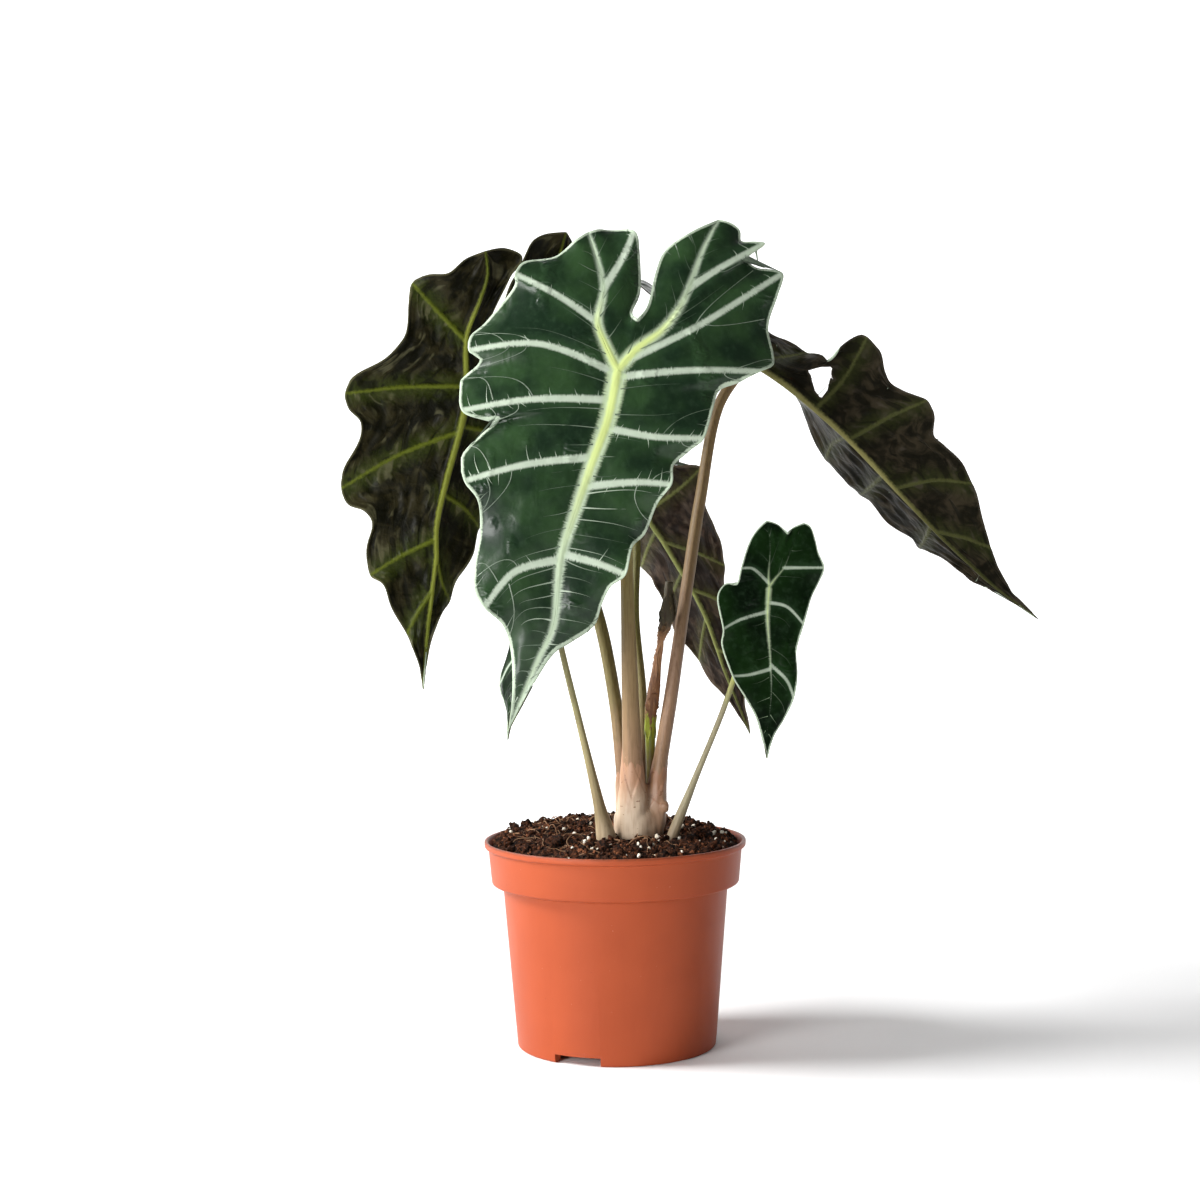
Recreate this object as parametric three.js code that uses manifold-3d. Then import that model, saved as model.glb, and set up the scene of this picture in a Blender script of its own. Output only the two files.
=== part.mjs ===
// A potted alocasia: a plastic nursery pot filled with peat, a corm, six leaf stalks with their blades,
// and a withered shoot. Millimetres, +Z up. The origin is on the pot's axis, at the plane it stands on.
import * as THREE from "three";
import { mergeVertices } from "three/addons/utils/BufferGeometryUtils.js";
import Module from "manifold-3d";

const wasm = await Module();
wasm.setup();

// ---------- driving dimensions ----------

const GAP = 0.3; // clearance between pieces that touch
const NECK = 6; // straight length of a stalk where it meets its blade
const CUT_REACH = 30; // how far the cut for an opening in a blade reaches to each side of its flat plane
const STEM_SIDES = 8;

const POT = {
  height: 95,
  lipRadius: 60.2,
  lipHeight: 3,
  bandTopRadius: 58.4,
  bandBottomRadius: 56.9,
  bandHeight: 20,
  bodyTopRadius: 51.8,
  bodyBottomRadius: 45.8,
  wall: 1.5,
  edge: 1, // size of the bevels along the edges
  shoulder: 2, // half the height of the slope inside the foot of the band
  footHeight: 4,
  footWidth: 4,
  padRadius: 12,
  draft: 0.5,
  floorThickness: 1.8,
  holes: 6,
  holeRadius: 4,
  holeCircle: 27,
  holeAngle: 30,
  holeSides: 12,
  notches: 3,
  notchArc: 28,
  notchAngle: -113.6,
  sides: 48,
};

const SOIL = {
  top: 94.2,
  rimDrop: 3, // how far the soil lies below its top where it meets the wall
  crown: 1.6,
  lumps: 0.9,
  lumpLength: 6.5,
  mounds: 0.9,
  moundLength: 22,
  backRise: 2.4, // the soil climbs towards the back, between these two places along Y
  backFrom: -20,
  backTo: 60,
  rings: 8,
  sides: 36,
  seed: 7,
};

const CORM = {
  x: 10.4,
  y: 0,
  foot: 68,
  top: 112.5,
  radius: 10.9,
  taper: 0.1,
  endInset: 0.12,
  ridges: 5,
  ridgeDepth: 0.03,
  twist: 3,
  sides: 16,
  rings: 9,
};

const BLADE = {
  thickness: 0.7,
  leastThin: 0.9,
  fullLength: 140, // the veins of a blade shorter than this are smaller
  midribHeight: 2.2,
  midribWidth: 2.4,
  veinHeight: 0.8,
  veinWidth: 1.3,
  lobeVein: 0.75, // height of a lobe's vein against the midrib
  thinning: 0.8, // how the main veins thin towards their ends
  pillow: 1.6,
  pillowSpan: 20, // bays narrower than this are puffed up less
  waveSpan: 15, // blade narrower than this is waved less
  rows: 4,
  columns: 4,
  lobeSteps: 9,
  midribSteps: 18,
};

// A stalk runs through these points, from its foot in the corm or the soil to the back of its blade.
const STALKS = {
  front: {
    foot: [8.3, -4, 104],
    path: [[8.4, -4.2, 126], [7.6, -6, 160], [6.8, -9, 200], [6, -13, 250], [5, -19, 288]],
    radius: [5.4, 4.9, 4, 3.3, 2.9, 2.6, 2.5, 2.5],
  },
  left: {
    foot: [5, 5.2, 104],
    path: [[4, 5.8, 126], [0.4, 8.5, 160], [-7.6, 14, 200], [-25, 22, 245], [-48, 28, 282]],
    radius: [3.6, 3.5, 3.1, 2.8, 2.6, 2.5, 2.4, 2.4],
  },
  right: {
    foot: [18.2, -1.2, 104],
    path: [[20.6, 0.4, 126], [26.5, 5, 160], [33, 12, 200], [41.5, 24, 250], [51.5, 40, 295]],
    radius: [3.9, 3.5, 3.1, 2.9, 2.8, 2.7, 2.5, 2.5],
  },
  back: {
    foot: [11.5, 7.6, 104],
    path: [[13.2, 11, 130], [13.6, 19, 160], [10.8, 32, 195], [12, 44, 226]],
    radius: [2.8, 2.6, 2.3, 2.1, 2, 1.9, 1.9],
  },
  small_right: {
    foot: [21.5, -12, 82],
    path: [[25.4, -13, 96], [35.6, -15, 122], [49.6, -16, 156], [60, -15, 186]],
    radius: [2.8, 2.7, 1.7, 1.4, 1.3, 1.3, 1.3],
  },
  small_left: {
    foot: [-4.5, -9.5, 82],
    path: [[-5.5, -10, 97], [-8.4, -11, 112], [-16.4, -14, 150], [-23.6, -18, 184]],
    radius: [4.2, 4.3, 2.7, 1.5, 1.4, 1.4, 1.4],
  },
};

const SHOOT = {
  foot: [15.6, 4.8, 106],
  path: [[16.5, 5, 124], [16.7, 5, 147]],
  radius: [1.6, 2.1, 2.4],
};

const WITHERED = {
  foot: [16.8, 5, 147.4],
  path: [[17.4, 5, 155], [18.6, 5, 163], [21.2, 5, 180], [22.6, 5, 188], [25, 5, 198], [26.1, 5, 213]],
  radius: [2.4, 2.9, 2.7, 1.4, 1.5, 2.4, 1.6],
};

// Each blade is drawn flat in mm: [a, b], with a from the stalk's joint towards the tip and b to the right
// of the upper face. A half has a lobe vein behind the joint and a row of bays along its edge: the edge
// points of a bay, then the vein that closes it, as [root, bend, end at the edge].
// fold is how steeply a half rises from the midrib: [near the joint, near the tip, from a, to a].
// gap is an opening where the edges of two waves meet and leave a space below them.
const SMALL_BLADE = {
  droop: 6,
  back: 6,
  arch: 3,
  wave: 1.5,
  midrib: [[0, 0], [15, -1], [35, 0], [50, 0], [66, -2], [77, -2]],
  notch: [-25, 9],
  right: {
    fold: [0.12, 0.12, 0, 1],
    lobe: [[-4, 3], [-9, 7], [-16, 10], [-23, 13], [-30, 17]],
    inner: [{ edge: [[-28, 12]] }],
    outer: [
      { edge: [[-28, 20], [-22, 22], [-16, 23]], vein: [[-9, 7], [-9, 16], [-9, 25]] },
      { edge: [[-3, 23], [5, 19]], vein: [[7, 1], [9, 8], [17, 15]] },
      { edge: [[28, 12], [39, 12]], vein: [[35, 0], [42, 7], [50, 10]] },
      { edge: [[59, 6], [67, 1]] },
    ],
  },
  left: {
    fold: [0.12, 0.12, 0, 1],
    lobe: [[-6, 0], [-16, 1], [-22, 1], [-31, 0]],
    inner: [{ edge: [[-29, 6]] }],
    outer: [
      { edge: [[-26, -5], [-19, -9]], vein: [[-2, -1], [-8, -7], [-8, -13]] },
      { edge: [[-1, -15], [-1, -20], [6, -24]], vein: [[11, -2], [15, -13], [20, -22]] },
      { edge: [[27, -22]], vein: [[37, -1], [40, -10], [41, -18]] },
      { edge: [[50, -12], [58, -7], [68, -4]] },
    ],
  },
};

const LEAVES = {
  front: {
    joint: [3, -34, 308],
    down: [-0.24, -0.3, -0.92],
    face: [0.1, -0.93, 0.36],
    droop: 12,
    back: 14,
    arch: 9,
    wave: 3,
    midrib: [[0, 0], [23, 1], [44, -1], [68, -3], [88, -4], [115, 0], [132, -3], [163, -8]],
    notch: [-25, 3],
    right: {
      fold: [0.12, 0.12, 0, 1],
      lobe: [[-12, 6], [-24, 15], [-41, 21], [-68, 24], [-87, 28]],
      inner: [{ edge: [[-34, 6], [-53, 6], [-65, 8], [-76, 17]] }],
      outer: [
        { edge: [[-86, 38], [-80, 41]], vein: [[-47, 23], [-62, 34], [-81, 51]] },
        { edge: [[-73, 45], [-69, 51]], vein: [[-3, 6], [-31, 31], [-69, 62]] },
        { edge: [[-58, 62], [-43, 61], [-31, 66], [-24, 67]], vein: [[3, 5], [-8, 31], [-18, 62]] },
        { edge: [[-11, 54], [-5, 46], [5, 45]], vein: [[27, 3], [26, 23], [21, 44]] },
        { edge: [[27, 39], [35, 34]], vein: [[55, 4], [48, 19], [45, 35]] },
        { edge: [[54, 31], [67, 29], [75, 25]], vein: [[85, 0], [86, 12], [88, 25]] },
        { edge: [[94, 20], [102, 18], [111, 17], [120, 9], [126, 3], [136, -1], [147, -4]] },
      ],
    },
    left: {
      fold: [0.12, 0.12, 0, 1],
      lobe: [[-10, -8], [-20, -14], [-36, -15], [-52, -22], [-63, -28]],
      inner: [
        { edge: [[-29, 0], [-42, 1], [-61, -4]], vein: [[-36, -15], [-54, -10], [-68, -8]] },
        { edge: [[-68, -18]] },
      ],
      outer: [
        { edge: [[-57, -33], [-48, -40], [-42, -52]], vein: [[-19, -16], [-28, -35], [-34, -55]] },
        { edge: [[-28, -54], [-11, -62], [-2, -67]], vein: [[2, -4], [-3, -36], [6, -66]] },
        { edge: [[9, -60], [16, -65], [21, -66]], vein: [[14, -5], [23, -34], [34, -62]] },
        { edge: [[36, -51], [34, -46], [43, -52], [54, -57]], vein: [[40, -6], [52, -29], [65, -53]] },
        { edge: [[72, -45], [84, -41], [97, -40], [109, -37]], vein: [[88, -7], [98, -22], [116, -31]] },
        { edge: [[121, -21], [130, -15], [147, -10]] },
      ],
    },
  },
  left: {
    joint: [-68, 40, 303],
    down: [-0.13, 0.17, -0.97],
    face: [-0.35, 0.9, 0.2],
    droop: 8,
    back: 10,
    arch: 3,
    wave: 3,
    midrib: [[0, 0], [15, 1], [43, 6], [65, 9], [81, 8], [96, 9], [115, 10], [143, 11]],
    notch: [-25, -7],
    right: {
      fold: [0.3, 0.35, 0, 80],
      lobe: [[-14, 2], [-28, 3], [-44, -1], [-56, -3], [-67, 0]],
      inner: [{ edge: [[-37, -9], [-49, -12.5], [-57, -15], [-63, -19], [-67, -18.5], [-69, -10]] }],
      outer: [
        { edge: [[-62, 9], [-55, 16], [-53, 24]], vein: [[-24, 3], [-36, 17], [-48, 30]] },
        { edge: [[-39, 31], [-28, 31], [-21, 33], [-11, 40], [-2, 52]], vein: [[-2, 4], [1, 29], [7, 55]] },
        { edge: [[14, 53], [19, 48], [28, 48], [42, 53]], vein: [[19, 4], [33, 28], [52, 53]] },
        { edge: [[59, 50], [61, 43], [67, 39], [80, 40]], vein: [[71, 10], [81, 24], [92, 37]] },
        { edge: [[95, 32], [105, 28]], vein: [[96, 9], [107, 15], [118, 19]] },
        { edge: [[124, 17], [133, 13]] },
      ],
    },
    left: {
      fold: [0.3, 0.35, 0, 80],
      lobe: [[-9, -8], [-23, -19], [-43, -31], [-62, -39], [-79, -42]],
      inner: [{ edge: [[-36, -13], [-51, -15.5], [-59, -18], [-66, -20.5], [-73, -24], [-77, -31]] }],
      outer: [
        { edge: [[-74, -47], [-66, -51], [-54, -50], [-45, -61]], vein: [[-23, -19], [-31, -41], [-33, -68]] },
        { edge: [[-22, -61], [-9, -65]], vein: [[-3, -3], [-3, -32], [3, -64]] },
        { edge: [[11, -52], [25, -51]], vein: [[16, 2], [22, -24], [37, -47]] },
        { edge: [[43, -34], [53, -27]], vein: [[50, 7], [57, -6], [67, -16]] },
        { edge: [[78, -12], [90, -4]], vein: [[81, 8], [92, 4], [102, -2]] },
        { edge: [[110, 5], [123, 9]] },
      ],
    },
  },
  right: {
    joint: [66.5, 52, 318],
    down: [0.72, 0.25, -0.64],
    face: [0.44, 0.55, 0.71],
    droop: 4,
    back: 30,
    arch: 0,
    wave: 1.5,
    midrib: [[0, 0], [12, -4], [30, -7], [62, -9], [97, -8], [127, -8], [151, -10], [169, -13], [192, -21]],
    notch: [-24, -1],
    gap: [[22.5, -18.5], [26, -24.5], [29, -28], [36.5, -18.5], [37.5, -14], [35.5, -13]],
    right: {
      fold: [0.85, 0.36, 34, 80],
      lobe: [[-16, 6], [-34, 15], [-50, 22], [-61, 27]],
      inner: [{ edge: [[-34, 4], [-46, 7], [-56, 14]] }],
      outer: [
        { edge: [[-60, 38]], vein: [[-28, 12], [-39, 32], [-50, 47]] },
        { edge: [[-38, 44], [-26, 38]], vein: [[-5, 2], [-8, 22], [-10, 42]] },
        { edge: [[0, 37]], vein: [[14, -4], [14, 16], [18, 38]] },
        { edge: [[28, 32]], vein: [[36, -7], [40, 16], [46, 33]] },
        { edge: [[58, 31]], vein: [[60, -9], [66, 14], [75, 34]] },
        { edge: [[88, 28]], vein: [[88, -8], [95, 14], [100, 32]] },
        { edge: [[105, 25], [118, 26], [130, 21]], vein: [[124, -8], [132, 8], [139, 24]] },
        { edge: [[144, 12], [152, 3], [162, -2], [176, -13]] },
      ],
    },
    left: {
      fold: [-0.25, 0.4, 8, 26],
      lobe: [[-16, -5], [-34, -13], [-50, -21], [-60, -25]],
      inner: [{ edge: [[-34, -5], [-46, -9], [-56, -17]] }],
      outer: [
        { edge: [[-61, -35]], vein: [[-28, -11], [-40, -30], [-51, -48]] },
        { edge: [[-40, -52], [-26, -44], [-10, -35], [0, -38]], vein: [[2, -1], [6, -22], [9, -39]] },
        {
          edge: [[17, -33], [24, -29.5], [25, -33.5], [23, -40], [24, -45.5]],
          vein: [[40, -8], [37, -28], [28.5, -49.5]],
        },
        { edge: [[38, -49.5], [46, -46], [53, -44], [60, -45]], vein: [[62, -9], [66, -32], [71, -49]] },
        { edge: [[79, -47], [86, -42], [94, -42], [106, -41]], vein: [[96, -8], [105, -25], [118, -37]] },
        { edge: [[126, -35], [136, -30]], vein: [[127, -8], [138, -17], [150, -23]] },
        { edge: [[161, -21], [176, -19]] },
      ],
    },
  },
  back: {
    joint: [17, 60, 247],
    down: [0.38, 0.25, -0.89],
    face: [0.6, 0.62, 0.45],
    droop: 6,
    back: 8,
    arch: 0,
    wave: 2,
    midrib: [[0, 0], [9, 0], [19, -3], [33, -6], [45, -9], [61, -11], [78, -11], [93, -11], [123, -14]],
    notch: [-19, -10],
    right: {
      fold: [0.1, 0.1, 0, 1],
      lobe: [[-9, 2], [-22, 5], [-34, 7], [-45, 8]],
      inner: [{ edge: [[-28, -6], [-38, -3], [-44, 2]] }],
      outer: [
        { edge: [[-42, 14]], vein: [[-22, 5], [-28, 14], [-32, 21]] },
        { edge: [[-24, 19], [-12, 24]], vein: [[1, 1], [1, 17], [3, 31]] },
        { edge: [[11, 24], [22, 27]], vein: [[12, -2], [22, 12], [33, 25]] },
        { edge: [[38, 17], [45, 16]], vein: [[36, -6], [46, 6], [57, 18]] },
        { edge: [[66, 15], [74, 10]], vein: [[61, -11], [72, -2], [85, 8]] },
        { edge: [[92, 3], [100, -5], [112, -10]] },
      ],
    },
    left: {
      fold: [0.2, 0.2, 0, 1],
      lobe: [[-8, -9], [-19, -19], [-31, -26], [-42, -30]],
      inner: [{ edge: [[-28, -14], [-38, -21]] }],
      outer: [
        { edge: [[-38, -36]], vein: [[-19, -19], [-23, -28], [-26, -35]] },
        { edge: [[-19, -27]], vein: [[2, 0], [-6, -23], [-13, -37]] },
        { edge: [[3, -33], [14, -34.5], [23, -33]], vein: [[19, -3], [28, -19], [37, -29.5]] },
        { edge: [[46, -28.5]], vein: [[45, -9], [53, -21], [61, -27]] },
        { edge: [[73, -23]], vein: [[78, -11], [82, -18], [88, -20]] },
        { edge: [[103, -18], [113, -16]] },
      ],
    },
  },
  small_right: {
    joint: [70, -22, 211],
    down: [0, -0.25, -0.97],
    face: [0.15, -0.93, 0.24],
    ...SMALL_BLADE,
  },
  small_left: {
    joint: [-35, -19, 216],
    down: [-0.2, -0.4, -0.87],
    face: [-0.85, -0.45, 0.25],
    mirror: true,
    ...SMALL_BLADE,
  },
};

const COLOURS = {
  pot: [0xcf6440, 0.45],
  soil: [0x2e1d15, 0.95],
  corm: [0xcfab8c, 0.6],
  upper: [0x1d3d2b, 0.3],
  under: [0x2c2a20, 0.42],
  stalk: [0x9a8358, 0.5],
  shoot: [0x86a83a, 0.45],
  withered: [0x70401f, 0.75],
};

// ---------- helpers ----------

const DEGREE = Math.PI / 180;
const lerp = THREE.MathUtils.lerp;
const vec = (p) => new THREE.Vector3(...p);
const flat = (points) => new THREE.SplineCurve(points.map(([a, b]) => new THREE.Vector2(a, b)));

function meshOf(name, geometry, colour) {
  const [hex, roughness] = COLOURS[colour];
  const material = new THREE.MeshStandardMaterial({ color: hex, roughness, metalness: 0 });
  const mesh = new THREE.Mesh(geometry, material);
  mesh.name = name;
  return mesh;
}

function geometryOf(points, triangles) {
  const geometry = new THREE.BufferGeometry();
  const numbers = points.flatMap((p) => [p.x, p.y, p.z]);
  geometry.setAttribute("position", new THREE.Float32BufferAttribute(numbers, 3));
  geometry.setIndex(triangles.flat());
  return geometry;
}

function solidOf(geometry) {
  const bare = geometry.clone();
  bare.deleteAttribute("normal");
  bare.deleteAttribute("uv");
  const merged = mergeVertices(bare, 1e-3);
  const mesh = new wasm.Mesh({
    numProp: 3,
    vertProperties: new Float32Array(merged.attributes.position.array),
    triVerts: new Uint32Array(merged.index.array),
  });
  return new wasm.Manifold(mesh);
}

function geometryFrom(solid) {
  const mesh = solid.getMesh();
  const geometry = new THREE.BufferGeometry();
  geometry.setAttribute("position", new THREE.BufferAttribute(mesh.vertProperties, 3));
  geometry.setIndex(new THREE.BufferAttribute(mesh.triVerts, 1));
  return geometry;
}

const cutAll = (solid, tools) => tools.reduce((left, tool) => left.subtract(tool), solid);

// A lathe about +Z: the profile is [radius, height], from the axis round to the axis.
function lathe(profile, sides) {
  const points = profile.map(([r, z]) => new THREE.Vector2(r, z));
  return new THREE.LatheGeometry(points, sides).rotateX(Math.PI / 2);
}

// Smooth seeded noise between -1 and 1, from hashed values on a square lattice.
function noise(x, y, seed) {
  const hash = (i, j) => {
    const s = Math.sin(i * 127.1 + j * 311.7 + seed * 74.7) * 43758.5453;
    return 2 * (s - Math.floor(s)) - 1;
  };
  const i = Math.floor(x);
  const j = Math.floor(y);
  const u = THREE.MathUtils.smoothstep(x - i, 0, 1);
  const v = THREE.MathUtils.smoothstep(y - j, 0, 1);
  return lerp(lerp(hash(i, j), hash(i + 1, j), u), lerp(hash(i, j + 1), hash(i + 1, j + 1), u), v);
}

// A closed round bar along a smooth path, with one radius for each point of the path.
function stem(path, radii, grow = 0) {
  const sides = STEM_SIDES;
  const curve = new THREE.CatmullRomCurve3(path.map(vec), false, "centripetal");
  const steps = 2 * (path.length - 1);
  const frames = curve.computeFrenetFrames(steps);
  const widths = flat(radii.map((r, i) => [i, r]));
  const foot = curve.getPoint(0).addScaledVector(curve.getTangent(0), -grow);
  const points = [];
  const triangles = [];
  for (let i = 0; i <= steps; i++) {
    const at = curve.getUtoTmapping(i / steps);
    const centre = i === 0 ? foot : curve.getPoint(at);
    const radius = widths.getPoint(at).y + grow;
    for (let j = 0; j < sides; j++) {
      const angle = (2 * Math.PI * j) / sides;
      const rim = frames.normals[i].clone().multiplyScalar(radius * Math.cos(angle));
      rim.addScaledVector(frames.binormals[i], radius * Math.sin(angle));
      points.push(rim.add(centre));
    }
  }
  for (let i = 0; i < steps; i++)
    for (let j = 0; j < sides; j++) {
      const k = (j + 1) % sides;
      const [p, q, r, s] = [i * sides + j, i * sides + k, (i + 1) * sides + k, (i + 1) * sides + j];
      triangles.push([p, q, r], [p, r, s]);
    }
  const [low, high] = [points.length, points.length + 1];
  points.push(foot, curve.getPoint(1));
  for (let j = 0; j < sides; j++) {
    const k = (j + 1) % sides;
    triangles.push([low, k, j], [high, steps * sides + j, steps * sides + k]);
  }
  return geometryOf(points, triangles);
}

// ---------- pot and soil ----------

// The inside of the pot above its floor, as [radius, height] going up, drawn in by a clearance.
function innerWall(clearance) {
  const bodyTop = POT.height - POT.bandHeight;
  const floorTop = POT.footHeight + POT.floorThickness;
  return [
    [POT.bodyBottomRadius - POT.wall - clearance, floorTop + clearance],
    [POT.bodyTopRadius - POT.wall - clearance, bodyTop - POT.shoulder + clearance],
    [POT.bandBottomRadius - POT.wall - clearance, bodyTop + POT.shoulder + clearance],
    [POT.bandTopRadius - POT.wall - clearance, POT.height - POT.lipHeight],
  ];
}

// The pot's section, from the middle of its underside out and up to the lip, and down its inside.
function potProfile() {
  const { edge } = POT;
  const bodyTop = POT.height - POT.bandHeight;
  const footInner = POT.bodyBottomRadius - POT.footWidth;
  const lipBottom = POT.height - POT.lipHeight;
  const outside = [
    [0, 0],
    [POT.padRadius, 0],
    [POT.padRadius + POT.draft, POT.footHeight],
    [footInner, POT.footHeight],
    [footInner + POT.draft, 0],
    [POT.bodyBottomRadius - edge, 0],
    [POT.bodyBottomRadius, edge],
    [POT.bodyTopRadius, bodyTop - edge],
    [POT.bandBottomRadius - edge, bodyTop],
    [POT.bandBottomRadius, bodyTop + edge],
    [POT.bandTopRadius, lipBottom - edge / 2],
    [POT.lipRadius - edge / 2, lipBottom],
    [POT.lipRadius, lipBottom + edge],
    [POT.lipRadius - edge, POT.height],
    [POT.bandTopRadius - POT.wall + edge / 2, POT.height],
  ];
  return [...outside, ...innerWall(0).reverse(), [0, POT.footHeight + POT.floorThickness]];
}

// The cut for a notch in the foot ring: a ring sector wider and deeper than the ring.
function footNotch(turn) {
  const shape = new THREE.Shape();
  const half = (POT.notchArc / 2) * DEGREE;
  shape.absarc(0, 0, POT.bodyBottomRadius + POT.footWidth, turn - half, turn + half, false);
  shape.absarc(0, 0, POT.bodyBottomRadius - 2 * POT.footWidth, turn + half, turn - half, true);
  const settings = { depth: 2 * POT.footHeight, bevelEnabled: false, curveSegments: 6 };
  return solidOf(new THREE.ExtrudeGeometry(shape, settings).translate(0, 0, -POT.footHeight));
}

function drainHole(turn) {
  const length = 4 * POT.floorThickness;
  const hole = new THREE.CylinderGeometry(POT.holeRadius, POT.holeRadius, length, POT.holeSides);
  hole.rotateX(Math.PI / 2);
  const height = POT.footHeight + POT.floorThickness / 2;
  hole.translate(POT.holeCircle * Math.cos(turn), POT.holeCircle * Math.sin(turn), height);
  return solidOf(hole);
}

function makePot() {
  const whole = solidOf(lathe(potProfile(), POT.sides));
  const turns = (count, from) => Array.from({ length: count }, (_, i) => from + (2 * Math.PI * i) / count);
  const notches = turns(POT.notches, POT.notchAngle * DEGREE).map(footNotch);
  const holes = turns(POT.holes, POT.holeAngle * DEGREE).map(drainHole);
  return geometryFrom(cutAll(whole, [...notches, ...holes]));
}

// The soil's top: lumps of peat, a little higher in the middle and at the back.
function soilHeight(x, y) {
  const reach = Math.hypot(x, y) / POT.bandTopRadius;
  const crown = SOIL.crown * (1 - reach * reach);
  const lumps = SOIL.lumps * noise(x / SOIL.lumpLength, y / SOIL.lumpLength, SOIL.seed);
  const mounds = SOIL.mounds * noise(x / SOIL.moundLength, y / SOIL.moundLength, SOIL.seed + 1);
  const back = SOIL.backRise * THREE.MathUtils.smoothstep(y, SOIL.backFrom, SOIL.backTo);
  return SOIL.top + crown + lumps + mounds + back;
}

function makeSoil(holes) {
  const wall = innerWall(GAP);
  const rim = wall[wall.length - 1];
  rim[1] = SOIL.top - SOIL.rimDrop;
  const reach = rim[0] - GAP;
  const rings = Array.from({ length: SOIL.rings + 1 }, (_, i) => [(reach * i) / SOIL.rings, SOIL.top]);
  const geometry = lathe([[0, wall[0][1]], ...wall, ...rings.reverse()], SOIL.sides);
  const place = geometry.attributes.position;
  for (let i = 0; i < place.count; i++)
    if (place.getZ(i) > rim[1] + GAP) place.setZ(i, soilHeight(place.getX(i), place.getY(i)));
  return geometryFrom(cutAll(solidOf(geometry), holes));
}

// ---------- corm, stalks and shoots ----------

// The corm: a stout round base, wider at the soil, ridged where the bases of old stalks wrap round it.
function makeCorm(grow = 0) {
  const points = [];
  const triangles = [];
  const { sides, rings } = CORM;
  for (let i = 0; i <= rings; i++) {
    const u = i / rings;
    const z = lerp(CORM.foot - grow, CORM.top + grow, u);
    const inset = u === 0 || u === 1 ? CORM.endInset : 0;
    const swell = 1 - CORM.taper * (2 * u - 1) ** 2 - inset;
    for (let j = 0; j < sides; j++) {
      const angle = (2 * Math.PI * j) / sides;
      const ridge = 1 + CORM.ridgeDepth * Math.cos(CORM.ridges * angle + CORM.twist * u);
      const radius = CORM.radius * swell * ridge + grow;
      points.push(vec([CORM.x + radius * Math.cos(angle), CORM.y + radius * Math.sin(angle), z]));
    }
  }
  for (let i = 0; i < rings; i++)
    for (let j = 0; j < sides; j++) {
      const k = (j + 1) % sides;
      const [p, q, r, s] = [i * sides + j, i * sides + k, (i + 1) * sides + k, (i + 1) * sides + j];
      triangles.push([p, q, r], [p, r, s]);
    }
  const [low, high] = [points.length, points.length + 1];
  points.push(vec([CORM.x, CORM.y, CORM.foot - grow]), vec([CORM.x, CORM.y, CORM.top + grow]));
  for (let j = 0; j < sides; j++) {
    const k = (j + 1) % sides;
    triangles.push([low, k, j], [high, rings * sides + j, rings * sides + k]);
  }
  return geometryOf(points, triangles);
}

// A stalk bends over at its head and meets the back of its blade square on, just clear of the midrib.
function stalkPath(stalk, leaf) {
  const { joint, normal } = frameOf(leaf);
  const reach = halfThickness(leaf) + BLADE.midribHeight * scaleOf(leaf) + GAP;
  const head = joint.clone().addScaledVector(normal, -reach);
  const neck = head.clone().addScaledVector(normal, -NECK);
  return [stalk.foot, ...stalk.path, neck.toArray(), head.toArray()];
}

const makeStalk = (name, grow) => stem(stalkPath(STALKS[name], LEAVES[name]), STALKS[name].radius, grow);

const makeShoot = (shoot, grow) => stem([shoot.foot, ...shoot.path], shoot.radius, grow);

// ---------- blades ----------

// The frame of a blade: down its length, across to the right of its upper face, and out of that face.
function frameOf(leaf) {
  const down = vec(leaf.down).normalize();
  const normal = vec(leaf.face);
  normal.addScaledVector(down, -normal.dot(down)).normalize();
  const across = normal.clone().cross(down).multiplyScalar(leaf.mirror ? -1 : 1);
  return { joint: vec(leaf.joint), down, normal, across };
}

// A small blade has smaller veins than a large one, and is hardly thinner.
const scaleOf = (leaf) => Math.min(1, leaf.midrib[leaf.midrib.length - 1][0] / BLADE.fullLength);
const halfThickness = (leaf) => (BLADE.thickness / 2) * Math.max(scaleOf(leaf), BLADE.leastThin);

function midribAt(leaf, a) {
  const rib = leaf.midrib;
  const i = rib.findIndex((p) => p[0] > a);
  if (i === 0) return 0;
  if (i < 0) return rib[rib.length - 1][1];
  const [[a0, b0], [a1, b1]] = [rib[i - 1], rib[i]];
  return lerp(b0, b1, (a - a0) / (a1 - a0));
}

// How far the blade stands off its flat plane at [a, b]: each half rises from the midrib by its fold,
// the length droops and the width arches.
function rise(leaf, a, b) {
  const off = b - midribAt(leaf, a);
  const [near, far, from, to] = off > 0 ? leaf.right.fold : leaf.left.fold;
  const slope = lerp(near, far, THREE.MathUtils.smoothstep(a, from, to));
  const droop = (a > 0 ? leaf.droop : leaf.back) * (a / 100) ** 2;
  return slope * (Math.hypot(off, 3) - 3) - droop - leaf.arch * (off / 50) ** 2;
}

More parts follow.
